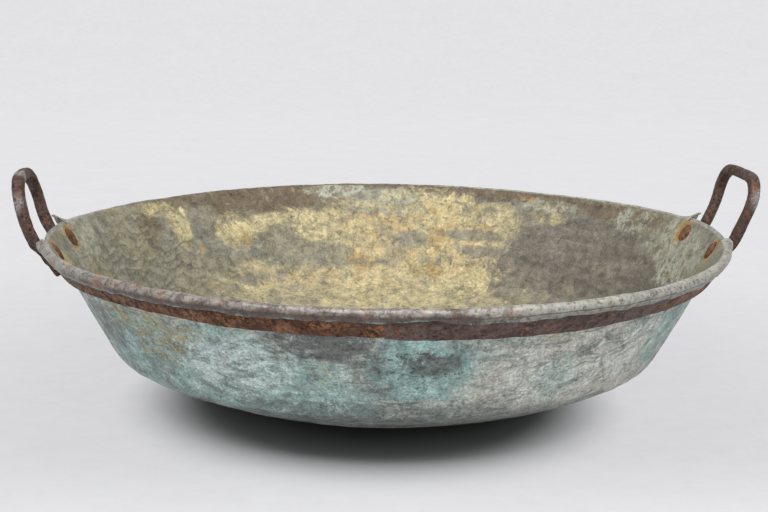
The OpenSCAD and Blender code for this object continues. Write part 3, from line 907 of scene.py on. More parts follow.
def copper_lip(c, place, crest):
    """Colour of the folded lip, with a painted highlight on its crest and painted shade below it; crest is 0 at
    its lower edge, 1 at its crest and more on the ears
    """
    mottle = place.noise(52.0, 8.0, 0.74, 0.8)
    fine = place.noise(190.0, 7.0, 0.76)
    side = place.parts()[0] + (mottle - 0.5) * 0.30
    right = side.step(0.03, 0.14)
    left = side.step(-0.30, -0.37)
    base = right.mix(c.lip, c.lip_right)
    base = (left * 0.7).mix(base, c.lip_right)
    spots = use(place.tree, "Blotches", Vector=place, Scale=42.0, Cover=0.34, Softness=0.04,
                Roughness=0.75)["Mask"]
    rusty = spots * fine.step(0.42, 0.54) * (1.0 - right) * 0.7
    off_ears = 1.0 - crest.step(1.25, 1.5)
    # Painted highlight as well as wear: the crest paler, where the light catches the fold
    wear_and_highlight = crest.step(0.66, 1.0) * mottle.step(0.36, 0.54) * off_ears * right.times_plus(-0.08, 0.60)
    ears = crest.step(1.3, 1.7) * mottle.step(0.40, 0.56) * 0.5
    pale = mottle.step(0.52, 0.60) * fine.step(0.42, 0.56) * crest.step(0.50, 0.90).times_plus(0.30, 0.08)
    under = crest.step(0.34, 0.10) * mottle.step(0.48, 0.56) * 0.7
    dark = fine.step(0.50, 0.40) * 0.7
    # Painted shade: the groove below the crest darker, and at the right the lower half of the lip
    painted_groove_shade = crest.step(0.50, 0.60) * crest.step(0.76, 0.66) * right.times_plus(0.40, 0.25)
    low = crest.step(0.50, 0.40) * right * 0.35
    base = layered(base, [(pale, c.mint), (wear_and_highlight, c.lip_wear_and_highlight), (ears, c.mint), (rusty, c.rust),
                          (under, tinted(c.verdigris, 0.8)), (low, c.lip), (painted_groove_shade, tinted(c.lip, 0.40)),
                          (dark, tinted(c.lip, 0.45))])
    return grained(base, place, 90.0, 0.65, 0.5)


def copper_material(c):
    """Patinated copper: inside, outside and lip, told apart by values stored on the mesh"""
    tree, shader, place = new_material("patinated_copper")
    here = use(tree, "Pan map", Position=place)
    folded = stored(tree, "folded")
    inside, crust = copper_inside(c, place, here)
    lip = copper_lip(c, place, stored(tree, "crest"))
    ragged = folded + (place.noise(90.0, 6.0, 0.7) - 0.5) * 0.7
    skin = stored(tree, "inside").step(0.3, 0.7).mix(copper_outside(c, place, here), inside)
    skin = ragged.step(0.30, 0.60).mix(skin, lip)
    marks = use(tree, "Hammer marks", Vector=place, Scale=46.0)["Height"]
    grain = place.noise(230.0, 8.0, 0.74)
    height = marks.times_plus(folded.times_plus(-0.36, 0.45), grain * 0.32) + crust * 0.14
    rough = place.noise(30.0, 6.0).step(0.3, 0.7, 0.52, 0.74) - folded.step(0.4, 0.8) * 0.20
    finish_shader(tree, shader, skin, rough, 0.12, height, 0.0024, 0.7)


def iron_material(name, base, rust_cover, rust, wear_and_highlight=None, wear_and_highlight_places=()):
    """Forged iron under rust, rubbed bright where hands take it and painted with highlights there; darker where
    the mesh stores a painted shadow
    """
    tree, shader, place = new_material(name)
    pits = use(tree, "Rust pitting", Vector=place, Scale=300.0, Depth=1.0)
    tone = place.noise(18.0, 8.0, 0.66, 0.4)
    fine = place.noise(200.0, 8.0, 0.75)
    rusty = use(tree, "Blotches", Vector=place, Scale=38.0, Cover=rust_cover, Softness=0.10,
                Roughness=0.75)["Mask"]
    dark = tinted(base, 0.22)
    skin = tone.step(0.38, 0.62).mix(base, tinted(base, 0.7))
    # The stored shade is a painted shadow under the lip, on the straps; the handles and rivets store none
    skin = layered(skin, [(fine.step(0.53, 0.64) * 0.50, tinted(base, 2.3)),
                          (rusty * fine.step(0.46, 0.56) * 0.72, rust), (fine.step(0.48, 0.38) * 0.85, dark),
                          (pits["Pits"] * 0.9, dark), (stored(tree, "shade") * 0.6, dark)])
    rough = pits["Scale mask"].step(0.0, 1.0, 0.55, 0.82)
    # Painted highlights on the handles' rubbed places, which are also paler and glossier from wear
    for spot, reach in wear_and_highlight_places:
        near = place.vector("DISTANCE", spot) + (fine - 0.5) * (reach * 2.2)
        mask = near.step(reach * 0.55, reach, 1.0, 0.0)
        skin = (mask * fine.step(0.38, 0.54) * 0.85).mix(skin, wear_and_highlight)
        rough = rough - mask * 0.30
    finish_shader(tree, shader, skin, rough, 0.35, pits["Height"], 0.0020, 1.0)


def finishes():
    """The pan's materials, made once"""
    if "patinated_copper" not in bpy.data.materials:
        c = colours()
        copper_material(c)
        iron_material("long_strap_rust", c.hoop, 0.50, c.rust)
        iron_material("short_strap_rust", c.strap, 0.22, c.rust)
        iron_material("forged_handle", c.handle, 0.40, c.rust_dark, c.wear_and_highlight, WEAR_AND_HIGHLIGHT_PLACES)
        iron_material("rivet_rust", c.rivet, 0.55, c.rust)
    return bpy.data.materials


# The pieces


def fold_depth(s, point):
    """How far past the top of the flare a point of the fold lies, below 0 on the wall"""
    top = rim_top(s)
    flat = Vector((math.hypot(point.x, point.y), point.z)) - top
    if flat.y < -0.9 * s.flare_drop:
        return flat.y
    return max(flat.dot(up_along(s.rim_lean)), flat.dot(out_from(s.rim_lean)))


class PAN_OT_bowl(bpy.types.Operator):
    """Raise the copper bowl and fold its lip over the hoop"""

    bl_idname = "jam_pan.bowl"
    bl_label = "Bowl"

    # Steps of the turned sheet, and the gap between a foot's edge and the cut end of the fold
    turns = 560
    slit = 0.0015
    # The lip from below its crest to its crest, for the colours of the fold
    below_crest = 0.006
    crest_rise = 0.0095

    def execute(self, context):
        s = sizes()
        line = sheet_line(s)
        section = [Vector((p.x, 0.0, p.y)) for p in line + fold_line(s)]
        bowl = draw_line("copper_bowl", section)
        turn_line(2 * math.pi, self.turns)
        self.face_out(bowl)
        self.cut_lip(bowl, s)
        self.raise_plain_edge(bowl, s)
        bpy.ops.object.mode_set(mode="OBJECT")
        reshape(bowl, lambda p: self.tear_ears(s, p))
        self.hammer(bowl)
        store(bowl, "folded", lambda v: smooth(fold_depth(s, v.co), 0.0, 0.0025))
        store(bowl, "crest", lambda v: self.lip_height(s, v.co))
        reshape(bowl, lambda p: self.waver(s, p))
        reshape(bowl, uneven)
        shell = len(bowl.data.vertices)
        apply_modifier(bowl, "SOLIDIFY", thickness=s.sheet, offset=-1.0, use_even_offset=True)
        store(bowl, "inside", lambda v: float(v.index >= shell))
        finish_piece(bowl, "pan_bowl", finishes()["patinated_copper"])
        return {"FINISHED"}

    def face_out(self, bowl):
        """Turns the sheet's normals outward, so that its thickness grows inward"""
        shape = bmesh.from_edit_mesh(bowl.data)
        lowest = min(shape.faces, key=lambda f: f.calc_center_median().z)
        if lowest.normal.z > 0.0:
            bpy.ops.mesh.select_all(action="SELECT")
            bpy.ops.mesh.flip_normals()

    def cut_lip(self, bowl, s):
        """Takes the fold away at the handles"""
        gap = (s.foot_w / 2 + self.slit) / rim_top(s).x
        right = leg_turn(s, s.right_w) + gap
        left = leg_turn(s, s.left_w) + gap

        def at_handle(face):
            middle = face.calc_center_median()
            azimuth = abs(math.atan2(middle.y, middle.x))
            return fold_depth(s, middle) > 0.0002 and (azimuth < right or azimuth > math.pi - left)

        select_where(bowl, "FACE", at_handle)
        bpy.ops.mesh.delete(type="FACE")

    def raise_plain_edge(self, bowl, s):
        """Raises the plain edge of the sheet between each handle's legs"""
        top = rim_top(s)
        past = (s.foot_w / 2 - self.slit - math.pi / self.turns * top.x) / top.x
        for at_left, width in ((False, s.right_w), (True, s.left_w)):
            reach = leg_turn(s, width) + past

            def between(edge):
                if not edge.is_boundary:
                    return False
                middle = (edge.verts[0].co + edge.verts[1].co) / 2
                azimuth = abs(math.atan2(middle.y, middle.x))
                off = math.pi - azimuth if at_left else azimuth
                return off < reach and abs(middle.z - top.y) < 0.0005

            select_where(bowl, "EDGE", between)
            for _ in range(2):
                rise = s.edge_h / 2
                grow = (top.x + rise * math.sin(s.rim_lean)) / top.x
                bpy.ops.mesh.extrude_region_move()
                bpy.ops.transform.resize(value=(grow, grow, 1.0), center_override=(0.0, 0.0, 0.0))
                bpy.ops.transform.translate(value=(0.0, 0.0, rise * math.cos(s.rim_lean)))

    def tear_ears(self, s, point):
        """Opens the fold beside each leg, where it stands up as a torn ear"""
        if fold_depth(s, point) < 1e-5:
            return point
        azimuth = math.atan2(point.y, point.x)
        top = rim_top(s)
        for turn, side in legs(s):
            off = (azimuth - turn + math.pi) % (2 * math.pi) - math.pi
            away = off * side * top.x - s.foot_w / 2
            share, bend, grow = BACK_EARS if point.y > 0.0 else FRONT_EARS
            reach = share * s.ear_l
            if 0.0 < away < reach:
                opening = min(1.0, 1.2 * (1.0 - away / reach))
                torn = 0.30 * abs(ripple(math.degrees(azimuth), 60.0, 2.0))
                flat = self.open_fold(s, point, 1.0 - bend * opening, 1.0 + opening * (grow - torn))
                azimuth -= side * s.ear_lap / top.x * opening * smooth(flat.y - top.y, 0.002, 0.012)
                return Vector((flat.x * math.cos(azimuth), flat.x * math.sin(azimuth), flat.y))
        return point

    def open_fold(self, s, point, bend, keep):
        """Place in the section of a point of the fold, once the fold is bent less and torn shorter"""
        up, out = up_along(s.rim_lean), out_from(s.rim_lean)
        offset = Vector((math.hypot(point.x, point.y), point.z)) - fold_middle(s)
        rise, reach = offset.dot(up), offset.dot(out)
        along = s.fold_r * math.atan2(rise, -reach) if rise > 0.0 else s.fold_r * math.pi - rise
        along *= keep
        radius = s.fold_r / bend
        turned = min(along, s.fold_r * math.pi * keep) / radius
        flat = rim_top(s) + radius * (out * (1.0 - math.cos(turned)) + up * math.sin(turned))
        beyond = max(0.0, along - s.fold_r * math.pi * keep)
        return flat + beyond * (out * math.sin(turned) + up * math.cos(turned))

    def hammer(self, bowl):
        """Hammer marks and broad dents all over the sheet, and the rows of dimples"""
        roughen(bowl, "hammer_marks", "VORONOI", 0.022, 0.0011)
        roughen(bowl, "broad_dents", "CLOUDS", 0.070, 0.0022)
        reshape(bowl, self.dimple)

    def dimple(self, point):
        """The rows of hammer dimples in the wall, deepest at the left"""
        azimuth = math.degrees(math.atan2(point.y, point.x))
        zone = smooth(point.z, 0.075, 0.095) * (1.0 - smooth(point.z, 0.150, 0.165))
        zone *= 0.25 + 0.75 * bell(azimuth, 158.0, 34.0)
        if zone < 0.01:
            return point

        def wave(by_azimuth, by_height):
            return DIMPLE_WARP * math.sin(by_azimuth * azimuth + by_height * point.z)

        row = point.z / DIMPLE_H + wave(*ROW_WAVE)
        column = azimuth / DIMPLE_TURN + wave(*COLUMN_WAVE) + 0.5 * (math.floor(row) % 2)
        reach = 2.0 * math.hypot(column % 1.0 - 0.5, row % 1.0 - 0.5)
        outward = Vector((point.x, point.y, 0.0)).normalized()
        return point + outward * (DIMPLE_DEPTH * zone * (max(0.0, 1.0 - reach ** 2) - 0.4))

    def lip_height(self, s, point):
        """How far up the lip a point lies: 0 at its lower edge, 1 at its crest, more on an ear"""
        flat = Vector((math.hypot(point.x, point.y), point.z))
        rise = (flat - fold_middle(s)).dot(up_along(s.rim_lean))
        return max(0.0, (rise + self.below_crest) / self.crest_rise)

    def waver(self, s, point):
        """The lip's wandering lower edge, with its pinch and its step"""
        depth = smooth(fold_depth(s, point), 0.003, 0.0075)
        if depth == 0.0:
            return point
        azimuth = math.degrees(math.atan2(point.y, point.x))
        rise = waves(azimuth, LIP_WAVES) + swells(azimuth, LIP_SWELLS)
        low = smooth(s.rim_h - point.z, 0.004, 0.014)
        return point + UP * (rise * low * depth)


class PAN_OT_hoop(bpy.types.Operator):
    """Bend the two iron straps of the hoop and lap their ends"""

    bl_idname = "jam_pan.hoop"
    bl_label = "Hoop"

    # Rounding of a strap's edges, spacing of its section's points, degrees in each step round the
    # pan, and the share of its thickness that is left at a tapered end
    ease = 0.0011
    pitch = 0.0035
    turn_step = 0.75
    thin = 0.12

    def execute(self, context):
        s = sizes()
        half = math.degrees(s.scarf_l / 2 / rim_top(s).x)
        self.strap(s, "long_strap", "long_hoop_strap", RIGHT_JOINT - half,
                   FRONT_JOINT + 360.0 + half, "long_strap_rust", False)
        self.strap(s, "short_strap", "short_hoop_strap", FRONT_JOINT - half, RIGHT_JOINT + half,
                   "short_strap_rust", True)
        return {"FINISHED"}

    def strap(self, s, name, node, start, end, material, outer):
        """One strap between two azimuths; the outer one lies over the other at the joints"""
        top = rim_top(s) + s.seat * out_from(s.rim_lean)
        ease = self.ease
        outline = [(0.0, ease), (ease, 0.0), (s.strap_t - ease, 0.0), (s.strap_t, ease),
                   (s.strap_t, s.strap_w - ease), (s.strap_t - ease, s.strap_w), (ease, s.strap_w),
                   (0.0, s.strap_w - ease)]
        points = []
        for out, down in outline:
            flat = top + out * out_from(s.rim_lean) - down * up_along(s.rim_lean)
            points.append(Matrix.Rotation(math.radians(start), 3, "Z") @ Vector((flat.x, 0.0, flat.y)))
        strap = draw_line(name, spaced(points + [points[0]], self.pitch)[:-1], True)
        turn_line(math.radians(end - start), round((end - start) / self.turn_step))
        select_where(strap, "EDGE", lambda e: e.is_boundary)
        bpy.ops.mesh.edge_face_add()
        bpy.ops.mesh.select_all(action="SELECT")
        bpy.ops.mesh.normals_make_consistent(inside=False)
        bpy.ops.object.mode_set(mode="OBJECT")
        reshape(strap, lambda p: self.thin_end(s, p, start, end, outer))
        roughen(strap, name + "_scale", "CLOUDS", 0.012, 0.0007, 0.75)
        # Painted shadow: the strap's top, just under the lip, is stored as shade for its material to paint
        # darker
        store(strap, "shade", lambda v: 1.0 - smooth(self.down_strap(s, v.co), 0.0085, 0.0140))
        reshape(strap, lambda p: self.ragged_edge(s, p, outer))
        reshape(strap, uneven)
        finish_piece(strap, node, finishes()[material])

    def thin_end(self, s, point, start, end, outer):
        """Tapers a strap's ends, from outside where it lies under, else from inside"""
        azimuth = math.degrees(math.atan2(point.y, point.x))
        while azimuth < start - 1.0:
            azimuth += 360.0
        reach = 2 * math.degrees(s.scarf_l / 2 / rim_top(s).x)
        gap = min(azimuth - start, end - azimuth)
        if gap >= reach:
            return point
        keep = self.thin + (1.0 - self.thin) * max(0.0, gap / reach)
        flat = Vector((math.hypot(point.x, point.y), point.z))
        out = out_from(s.rim_lean)
        depth = (flat - rim_top(s)).dot(out) - s.seat
        new_depth = s.strap_t - (s.strap_t - depth) * keep if outer else depth * keep
        moved = flat + (new_depth - depth) * out
        turn = math.atan2(point.y, point.x)
        return Vector((moved.x * math.cos(turn), moved.x * math.sin(turn), moved.y))

    def ragged_edge(self, s, point, outer):
        """The wandering lower edge of a strap, lower along the outer one"""
        azimuth = math.degrees(math.atan2(point.y, point.x))
        down = self.down_strap(s, point)
        low = smooth(down, s.strap_w * 0.5, s.strap_w)
        wander = waves(azimuth, STRAP_WAVES)
        if outer:
            lowered = smooth(azimuth, -95.0, -91.0) * (1.0 - smooth(azimuth, -66.0, -50.0))
            wander -= SHORT_STRAP_DROP * lowered
        else:
            wander += swells(azimuth, LONG_STRAP_SWELLS)
        along = up_along(s.rim_lean)
        turn = math.atan2(point.y, point.x)
        along = Vector((along.x * math.cos(turn), along.x * math.sin(turn), along.y))
        return point + along * (wander * low)

    def down_strap(self, s, point):
        """How far down the strap a point lies from the top of the flare"""
        flat = Vector((math.hypot(point.x, point.y), point.z))
        return (rim_top(s) - flat).dot(up_along(s.rim_lean))


def stamp(name, profile, steps):
    """A small turned piece with its axis along X, from (along, radius) pairs"""
    points = [Vector((along, 0.0, radius)) for along, radius in profile]
    piece = draw_line(name, points)
    bpy.ops.mesh.select_all(action="SELECT")
    bpy.ops.mesh.spin(steps=steps, angle=2 * math.pi, center=(0.0, 0.0, 0.0), axis=(1.0, 0.0, 0.0))
    bpy.ops.mesh.select_all(action="SELECT")
    bpy.ops.mesh.remove_doubles(threshold=1e-6)
    bpy.ops.mesh.normals_make_consistent(inside=False)
    bpy.ops.object.mode_set(mode="OBJECT")
    return piece


class PAN_OT_pins(bpy.types.Operator):
    """Hammer a pin through each joint of the hoop"""

    bl_idname = "jam_pan.pins"
    bl_label = "Hoop pins"

    # Depth of the pins below the rim, their radius between their ends, the depth of the sunk ends,
    # and their crown
    drop = 0.020
    shank_r = 0.003
    sunk = 0.0015
    crown = 0.0004

    def execute(self, context):
        s = sizes()
        t = s.strap_t + s.seat
        made = []
        for joint in (FRONT_JOINT, RIGHT_JOINT):
            pin = stamp("hoop_pin", [(s.seat, 0.0), (s.seat, s.pin_r), (self.sunk, self.shank_r),
                                     (t - self.sunk, self.shank_r), (t, s.pin_r),
                                     (t + 0.0003, s.pin_r * 0.7), (t + self.crown, 0.0)], 24)
            pin.data.transform(on_flare(s, math.radians(joint), self.drop))
            made.append(pin)
        pick(made[0])
        made[1].select_set(True)
        bpy.ops.object.join()
        pins = bpy.context.object
        pins.name = "hoop_pins"
        apply_modifier(pins, "SUBSURF", levels=1, render_levels=1)
        reshape(pins, uneven)
        finish_piece(pins, "hoop_joint_pins", finishes()["rivet_rust"])
        return {"FINISHED"}


class PAN_OT_handles(bpy.types.Operator):
    """Forge the two handles, each from one bar"""

    bl_idname = "jam_pan.handles"
    bl_label = "Handles"

    # Each handle's bar against the named one
    left_stout = 1.06
    right_stout = 0.99

    def execute(self, context):
        s = sizes()
        left = self.stations(s, s.left_w, s.left_h, s.left_lean, s.left_corner, s.left_arch,
                             self.left_stout)
        right = self.stations(s, s.right_w, s.right_h, s.right_lean, s.right_corner, s.right_arch,
                              self.right_stout)
        self.forge(s, "left_loop", "left_handle", math.pi, s.left_splay, s.left_h, left)
        self.forge(s, "right_loop", "right_handle", 0.0, s.right_splay, s.right_h, right)
        return {"FINISHED"}

    def ring(self, middle, wide, thick, width, thickness, radius):
        """The bar's section round a middle, its corners rounded by a radius"""
        corners = []
        for quarter in range(4):
            for part in range(3):
                a = math.pi / 2 * (quarter + part / 2)
                x = (1 if quarter in (0, 3) else -1) * (width / 2 - radius) + radius * math.cos(a)
                y = (1 if quarter < 2 else -1) * (thickness / 2 - radius) + radius * math.sin(a)
                corners.append(middle + x * wide + y * thick)
        return corners

    def stations(self, s, width, height, leg_lean, corner_r, arch, stout):
        """Rings from one foot to the middle of the grip, on the leg at +Y of a handle at +X"""
        turn = leg_turn(s, width)
        spin = Matrix.Rotation(turn, 3, "Z")

        def lean_out(lean):
            return Vector((math.cos(lean), 0.0, -math.sin(lean)))

        def lean_up(lean):
            return Vector((math.sin(lean), 0.0, math.cos(lean)))

        side = Vector((0.0, 1.0, 0.0))
        rivet = rivet_point(s)
        seat = Vector((rivet.x, 0.0, rivet.y))
        foot_down = s.strap_w - (rim_top(s).y - rivet.y) / math.cos(s.rim_lean) + s.foot_past
        foot_mid = seat + (foot_off(s) + s.foot_t / 2) * lean_out(s.rim_lean)
        rings = []

        # The flattened foot, from its lower end to its top
        for along, shrink in ((-foot_down, 0.7), (-foot_down + 0.0015, 0.95), (-foot_down * 0.6, 1.0),
                              (-0.002, 1.0), (FOOT_UP, 0.97)):
            middle = spin @ (foot_mid + along * lean_up(s.rim_lean))
            rings.append(self.ring(middle, spin @ side, spin @ lean_out(s.rim_lean),
                                   s.foot_w * shrink, s.foot_t * shrink, FOOT_EDGE))

        # The fan, from the foot's section to the bar's
        root = seat + root_rise(s) * lean_up(s.rim_lean) + root_out(s) * lean_out(s.rim_lean)
        start = spin @ (foot_mid + FOOT_UP * lean_up(s.rim_lean))
        end = spin @ root
        for i in range(1, FAN_RINGS):
            t = i / FAN_RINGS
            ease = smooth(t, 0.0, 1.0)
            ease_turn = Matrix.Rotation(turn * (1 - t), 3, "Z")
            rings.append(self.ring(start + t * (end - start), ease_turn @ side,
                                   ease_turn @ lean_out(s.rim_lean),
                                   s.foot_w + ease * (s.bar - s.foot_w),
                                   s.foot_t + t * (s.bar - s.foot_t), FOOT_EDGE + t * FAN_EDGE))

        # The bend out of the wall's lean, then the leg, which leans less towards its top
        bend_mid = Vector((root.x * math.cos(turn), 0.0, root.z)) - s.leg_bend_r * lean_out(s.rim_lean)
        offset = Vector((0.0, width / 2, 0.0))
        foot_lean = leg_lean + s.leg_curve
        top_lean = leg_lean - s.leg_curve

        def bar_ring(middle, wide, thick):
            return self.ring(middle, wide, thick, s.bar * stout, s.bar * stout, BAR_EDGE)

        for i in range(BEND_RINGS):
            lean = s.rim_lean + (foot_lean - s.rim_lean) * i / (BEND_RINGS - 1)
            middle = bend_mid + s.leg_bend_r * lean_out(lean) + offset
            rings.append(bar_ring(middle, side, lean_out(lean)))
        spot = bend_mid + s.leg_bend_r * lean_out(foot_lean) + offset
        leg_top = s.rim_h + height - s.bar / 2 - corner_r * math.cos(top_lean) - arch
        step_up = (leg_top - spot.z) / LEG_RINGS
        for i in range(1, LEG_RINGS + 1):
            lean = foot_lean + (top_lean - foot_lean) * (i - 0.5) / LEG_RINGS
            spot = spot + Vector((step_up * math.tan(lean), 0.0, step_up))
            if i < LEG_RINGS:
                rings.append(bar_ring(spot, side, lean_out(lean)))

        def arched(middle):
            return middle + lean_up(top_lean) * (arch * (1.0 - (2.0 * middle.y / width) ** 2))

        # The top corner and half the grip
        corner = spot - corner_r * side
        for i in range(CORNER_RINGS):
            a = math.pi / 2 * i / (CORNER_RINGS - 1)
            out = side * math.cos(a) + lean_up(top_lean) * math.sin(a)
            rings.append(bar_ring(arched(corner + corner_r * out), out, lean_out(top_lean)))
        grip = corner + corner_r * lean_up(top_lean)
        for i in range(1, GRIP_RINGS + 1):
            middle = Vector((grip.x, grip.y * (1 - i / GRIP_RINGS), grip.z))
            rings.append(bar_ring(arched(middle), lean_up(top_lean), lean_out(top_lean)))
        return rings

    def forge(self, s, name, node, facing, splay, height, half):
        """Draws a bar through the rings of one half and their mirror images, and turns it home"""
        mirrored = [[Vector((p.x, -p.y, p.z)) for p in ring] for ring in half[-2::-1]]
        rings = half + mirrored
        loop = draw_line(name, rings[0], True)
        bpy.ops.mesh.edge_face_add()
        for before, after in zip(rings, rings[1:]):
            bpy.ops.mesh.extrude_region_move()
            shape = bmesh.from_edit_mesh(loop.data)
            for vertex in [v for v in shape.verts if v.select]:
                gaps = [(corner - vertex.co).length_squared for corner in before]
                vertex.co = after[gaps.index(min(gaps))]
            bmesh.update_edit_mesh(loop.data)
        bpy.ops.mesh.select_all(action="SELECT")
        bpy.ops.mesh.normals_make_consistent(inside=False)
        bpy.ops.object.mode_set(mode="OBJECT")
        apply_modifier(loop, "SUBSURF", levels=3, render_levels=3)
        reach = max(p.y for ring in half for p in ring)

        def spread(point):
            rise = smooth(point.z, s.rim_h + 0.005, s.rim_h + height)
            return Vector((point.x, point.y + splay * rise * point.y / reach, point.z))

        reshape(loop, spread)
        for grain, depth in ((0.020, 0.0010), (0.006, 0.0006)):
            roughen(loop, name + "_forging", "CLOUDS", grain, depth)
        loop.data.transform(Matrix.Rotation(facing, 4, "Z"))
        reshape(loop, uneven)
        finish_piece(loop, node, finishes()["forged_handle"])


class PAN_OT_rivets(bpy.types.Operator):
    """Drive the four rivets that hold the handles"""

    bl_idname = "jam_pan.rivets"
    bl_label = "Rivets"

    def execute(self, context):
        s = sizes()
        right = leg_turn(s, s.right_w)
        left = leg_turn(s, s.left_w)
        places = {"right_front_rivet": -right, "right_back_rivet": right,
                  "left_front_rivet": math.pi + left, "left_back_rivet": math.pi - left}
        back = -s.sheet - s.seat
        face = foot_off(s) + s.foot_t
        dome = ((1.0, 0.0), (0.95, 0.40), (0.72, 0.74), (0.38, 0.95), (0.12, 1.0), (0.0, 0.96))
        peen = ((0.0, 0.96), (0.45, 1.0), (0.9, 0.6), (1.0, 0.0))
        profile = [(back - s.head_t * high, s.head_r * wide) for high, wide in dome]
        profile += [(back, s.rivet_r * 1.4), (back, s.rivet_r), (face, s.rivet_r)]
        profile += [(face + s.peen_t * high, s.peen_r * wide) for high, wide in peen]
        for node, azimuth in places.items():
            rivet = stamp(node + "_head", profile, 40)
            rivet.data.transform(on_flare(s, azimuth, s.rivet_drop))
            apply_modifier(rivet, "SUBSURF", levels=1, render_levels=1)
            roughen(rivet, node + "_beating", "CLOUDS", 0.006, 0.0007)
            reshape(rivet, uneven)
            finish_piece(rivet, node, finishes()["rivet_rust"])
        return {"FINISHED"}


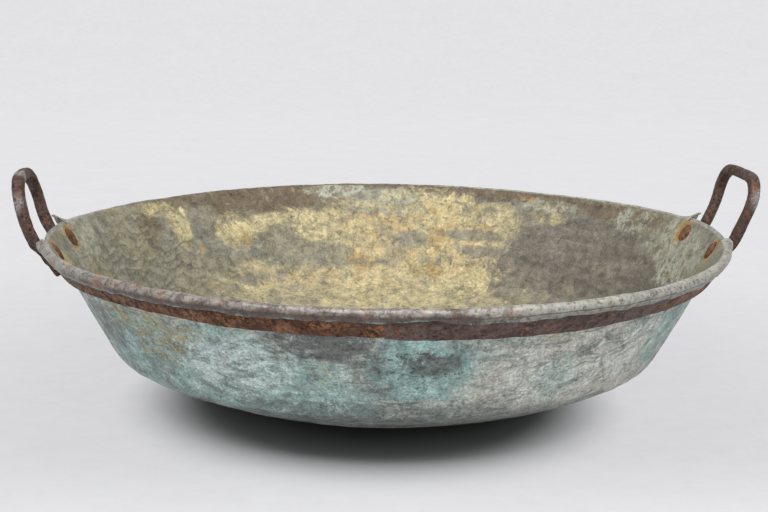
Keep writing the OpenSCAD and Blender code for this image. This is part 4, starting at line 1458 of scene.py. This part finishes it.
class PAN_OT_stage(bpy.types.Operator):
    """Set up the floor, the light and the camera"""

    bl_idname = "jam_pan.stage"
    bl_label = "Floor, light and camera"

    # Side of the floor, height of the backdrop and radius of the curve between them
    floor_l = 12.0
    backdrop_h = 6.0
    cove_r = 3.0

    # The camera's distance and the point it looks at, in metres, its tilt, roll and turn round the
    # pan in degrees, and its focal length and the photograph's width in pixels
    distance = 1.6688
    look_at = (-0.00195, 0.0, 0.1638)
    tilt = 11.26
    roll = 0.90
    turn = 3.8
    focal_px = 1400.0
    frame_px = 768.0

    def execute(self, context):
        self.lay_floor(colours())
        self.hang_lights(context.scene)
        self.aim_camera(context.scene)
        context.scene.view_settings.view_transform = "Standard"
        return {"FINISHED"}

    def lay_floor(self, c):
        """A floor that curves up into its backdrop, with a plain pale finish"""
        nothing_selected()
        bpy.ops.mesh.primitive_plane_add(size=self.floor_l)
        floor = bpy.context.object
        floor.name = "studio_floor"
        bpy.ops.object.mode_set(mode="EDIT")
        back = self.floor_l / 2 - 0.1
        select_where(floor, "EDGE", lambda e: min(v.co.y for v in e.verts) > back)
        bpy.ops.mesh.extrude_region_move(TRANSFORM_OT_translate={"value": UP * self.backdrop_h})
        select_where(floor, "EDGE", lambda e: min(v.co.y for v in e.verts) > back
                     and max(v.co.z for v in e.verts) < 0.1)
        bpy.ops.mesh.bevel(offset=self.cove_r, segments=16)
        bpy.ops.object.mode_set(mode="OBJECT")
        bpy.ops.object.shade_smooth()
        self.floor_material(c)
        floor.data.materials.append(bpy.data.materials["pale_floor"])

    def floor_material(self, c):
        """Painted darker under the pan, over its real shadow; away from it the camera sees the backdrop's
        colour
        """
        tree, shader, place = new_material("pale_floor")
        away = place.mapped(Location=SHADOW_SHIFT, Scale=SHADOW_SQUEEZE).vector("LENGTH")
        # Painted shadow: the floor's colour turns to the dark under-the-pan colour near the pan
        floor_with_painted_shadow = away.step(*PAINTED_SHADOW_REACH).mix(c.under, c.floor)
        rays = tree.nodes.new("ShaderNodeLightPath").outputs
        camera, glossy, through = (Wire(tree, rays[f"Is {kind} Ray"])
                                   for kind in ("Camera", "Glossy", "Transmission"))
        glow = away.step(*GLOW_REACH) * (camera + glossy + through).math("MINIMUM", 1.0)
        # Painted shadow: the colour that the camera sees is darker near the pan, a wide soft shade
        seen = away.step(0.25, 1.0).mix(tinted(c.backdrop, 0.86), c.backdrop)
        seen = place.parts()[1].step(-0.22, -0.50).mix(seen, c.front)
        weave = grained(seen, place, 9.0, 0.035, 0.05)
        black = (0.0, 0.0, 0.0)
        plug(glow.mix(floor_with_painted_shadow, black), shader.inputs["Base Color"])
        plug(glow.mix(black, weave), shader.inputs["Emission Color"])
        shader.inputs["Emission Strength"].default_value = 1.0
        shader.inputs["Roughness"].default_value = 0.9

    def hang_lights(self, scene):
        world = bpy.data.worlds.new("studio")
        world.use_nodes = True
        sky = world.node_tree.nodes["Background"]
        sky.inputs["Color"].default_value = (0.985, 0.99, 1.0, 1.0)
        sky.inputs["Strength"].default_value = 0.32
        scene.world = world
        lit_point = Vector((0.0, 0.0, 0.1))
        for name, spot, power in (("key_softbox", Vector((-0.50, -1.30, 2.3)), 40.0),
                                  ("fill_softbox", Vector((0.50, -1.30, 2.3)), 30.0)):
            bpy.ops.object.light_add(type="AREA", location=spot)
            lamp = bpy.context.object
            lamp.name = name
            lamp.data.size = 1.6
            lamp.data.energy = power
            lamp.rotation_euler = (lit_point - spot).to_track_quat("-Z", "Y").to_euler()

    def aim_camera(self, scene):
        """The camera of the photograph: its distance, height and slight roll"""
        tilt = math.radians(self.tilt)
        back = Vector((0.0, -math.cos(tilt), math.sin(tilt)))
        to_pan = Matrix.Rotation(-math.radians(self.turn), 3, "Z")
        data = bpy.data.cameras.new("photo_view")
        data.sensor_width = 36.0
        data.lens = data.sensor_width * self.focal_px / self.frame_px
        data.clip_end = 60.0
        camera = bpy.data.objects.new("photo_view", data)
        scene.collection.objects.link(camera)
        upright = (-back).to_track_quat("-Z", "Y").to_matrix()
        turned = to_pan @ upright @ Matrix.Rotation(math.radians(self.roll), 3, "Z")
        spot = to_pan @ (Vector(self.look_at) + self.distance * back)
        camera.matrix_world = Matrix.Translation(spot) @ turned.to_4x4()
        scene.camera = camera


PIECES = (PAN_OT_bowl, PAN_OT_hoop, PAN_OT_pins, PAN_OT_handles, PAN_OT_rivets, PAN_OT_stage)


class PAN_PT_sidebar(bpy.types.Panel):
    """Buttons for the pan's pieces, and its sizes and colours"""

    bl_idname = "PAN_PT_sidebar"
    bl_label = "Jam pan"
    bl_space_type = "VIEW_3D"
    bl_region_type = "UI"
    bl_category = "Jam pan"

    def draw(self, context):
        for operator in PIECES:
            self.layout.operator(operator.bl_idname)
        for group in (context.scene.pan_sizes, context.scene.pan_colours):
            box = self.layout.box()
            for key in group.bl_rna.properties.keys():
                if key not in ("rna_type", "name"):
                    box.prop(group, key)


CLASSES = (PanSizes, PanColours) + PIECES + (PAN_PT_sidebar,)


def register():
    for cls in CLASSES:
        bpy.utils.register_class(cls)
    bpy.types.Scene.pan_sizes = PointerProperty(type=PanSizes)
    bpy.types.Scene.pan_colours = PointerProperty(type=PanColours)


def unregister():
    del bpy.types.Scene.pan_colours
    del bpy.types.Scene.pan_sizes
    for cls in reversed(CLASSES):
        bpy.utils.unregister_class(cls)


def main():
    register()
    bpy.ops.jam_pan.bowl()
    bpy.ops.jam_pan.hoop()
    bpy.ops.jam_pan.pins()
    bpy.ops.jam_pan.handles()
    bpy.ops.jam_pan.rivets()
    bpy.ops.jam_pan.stage()


if __name__ == "__main__":
    main()
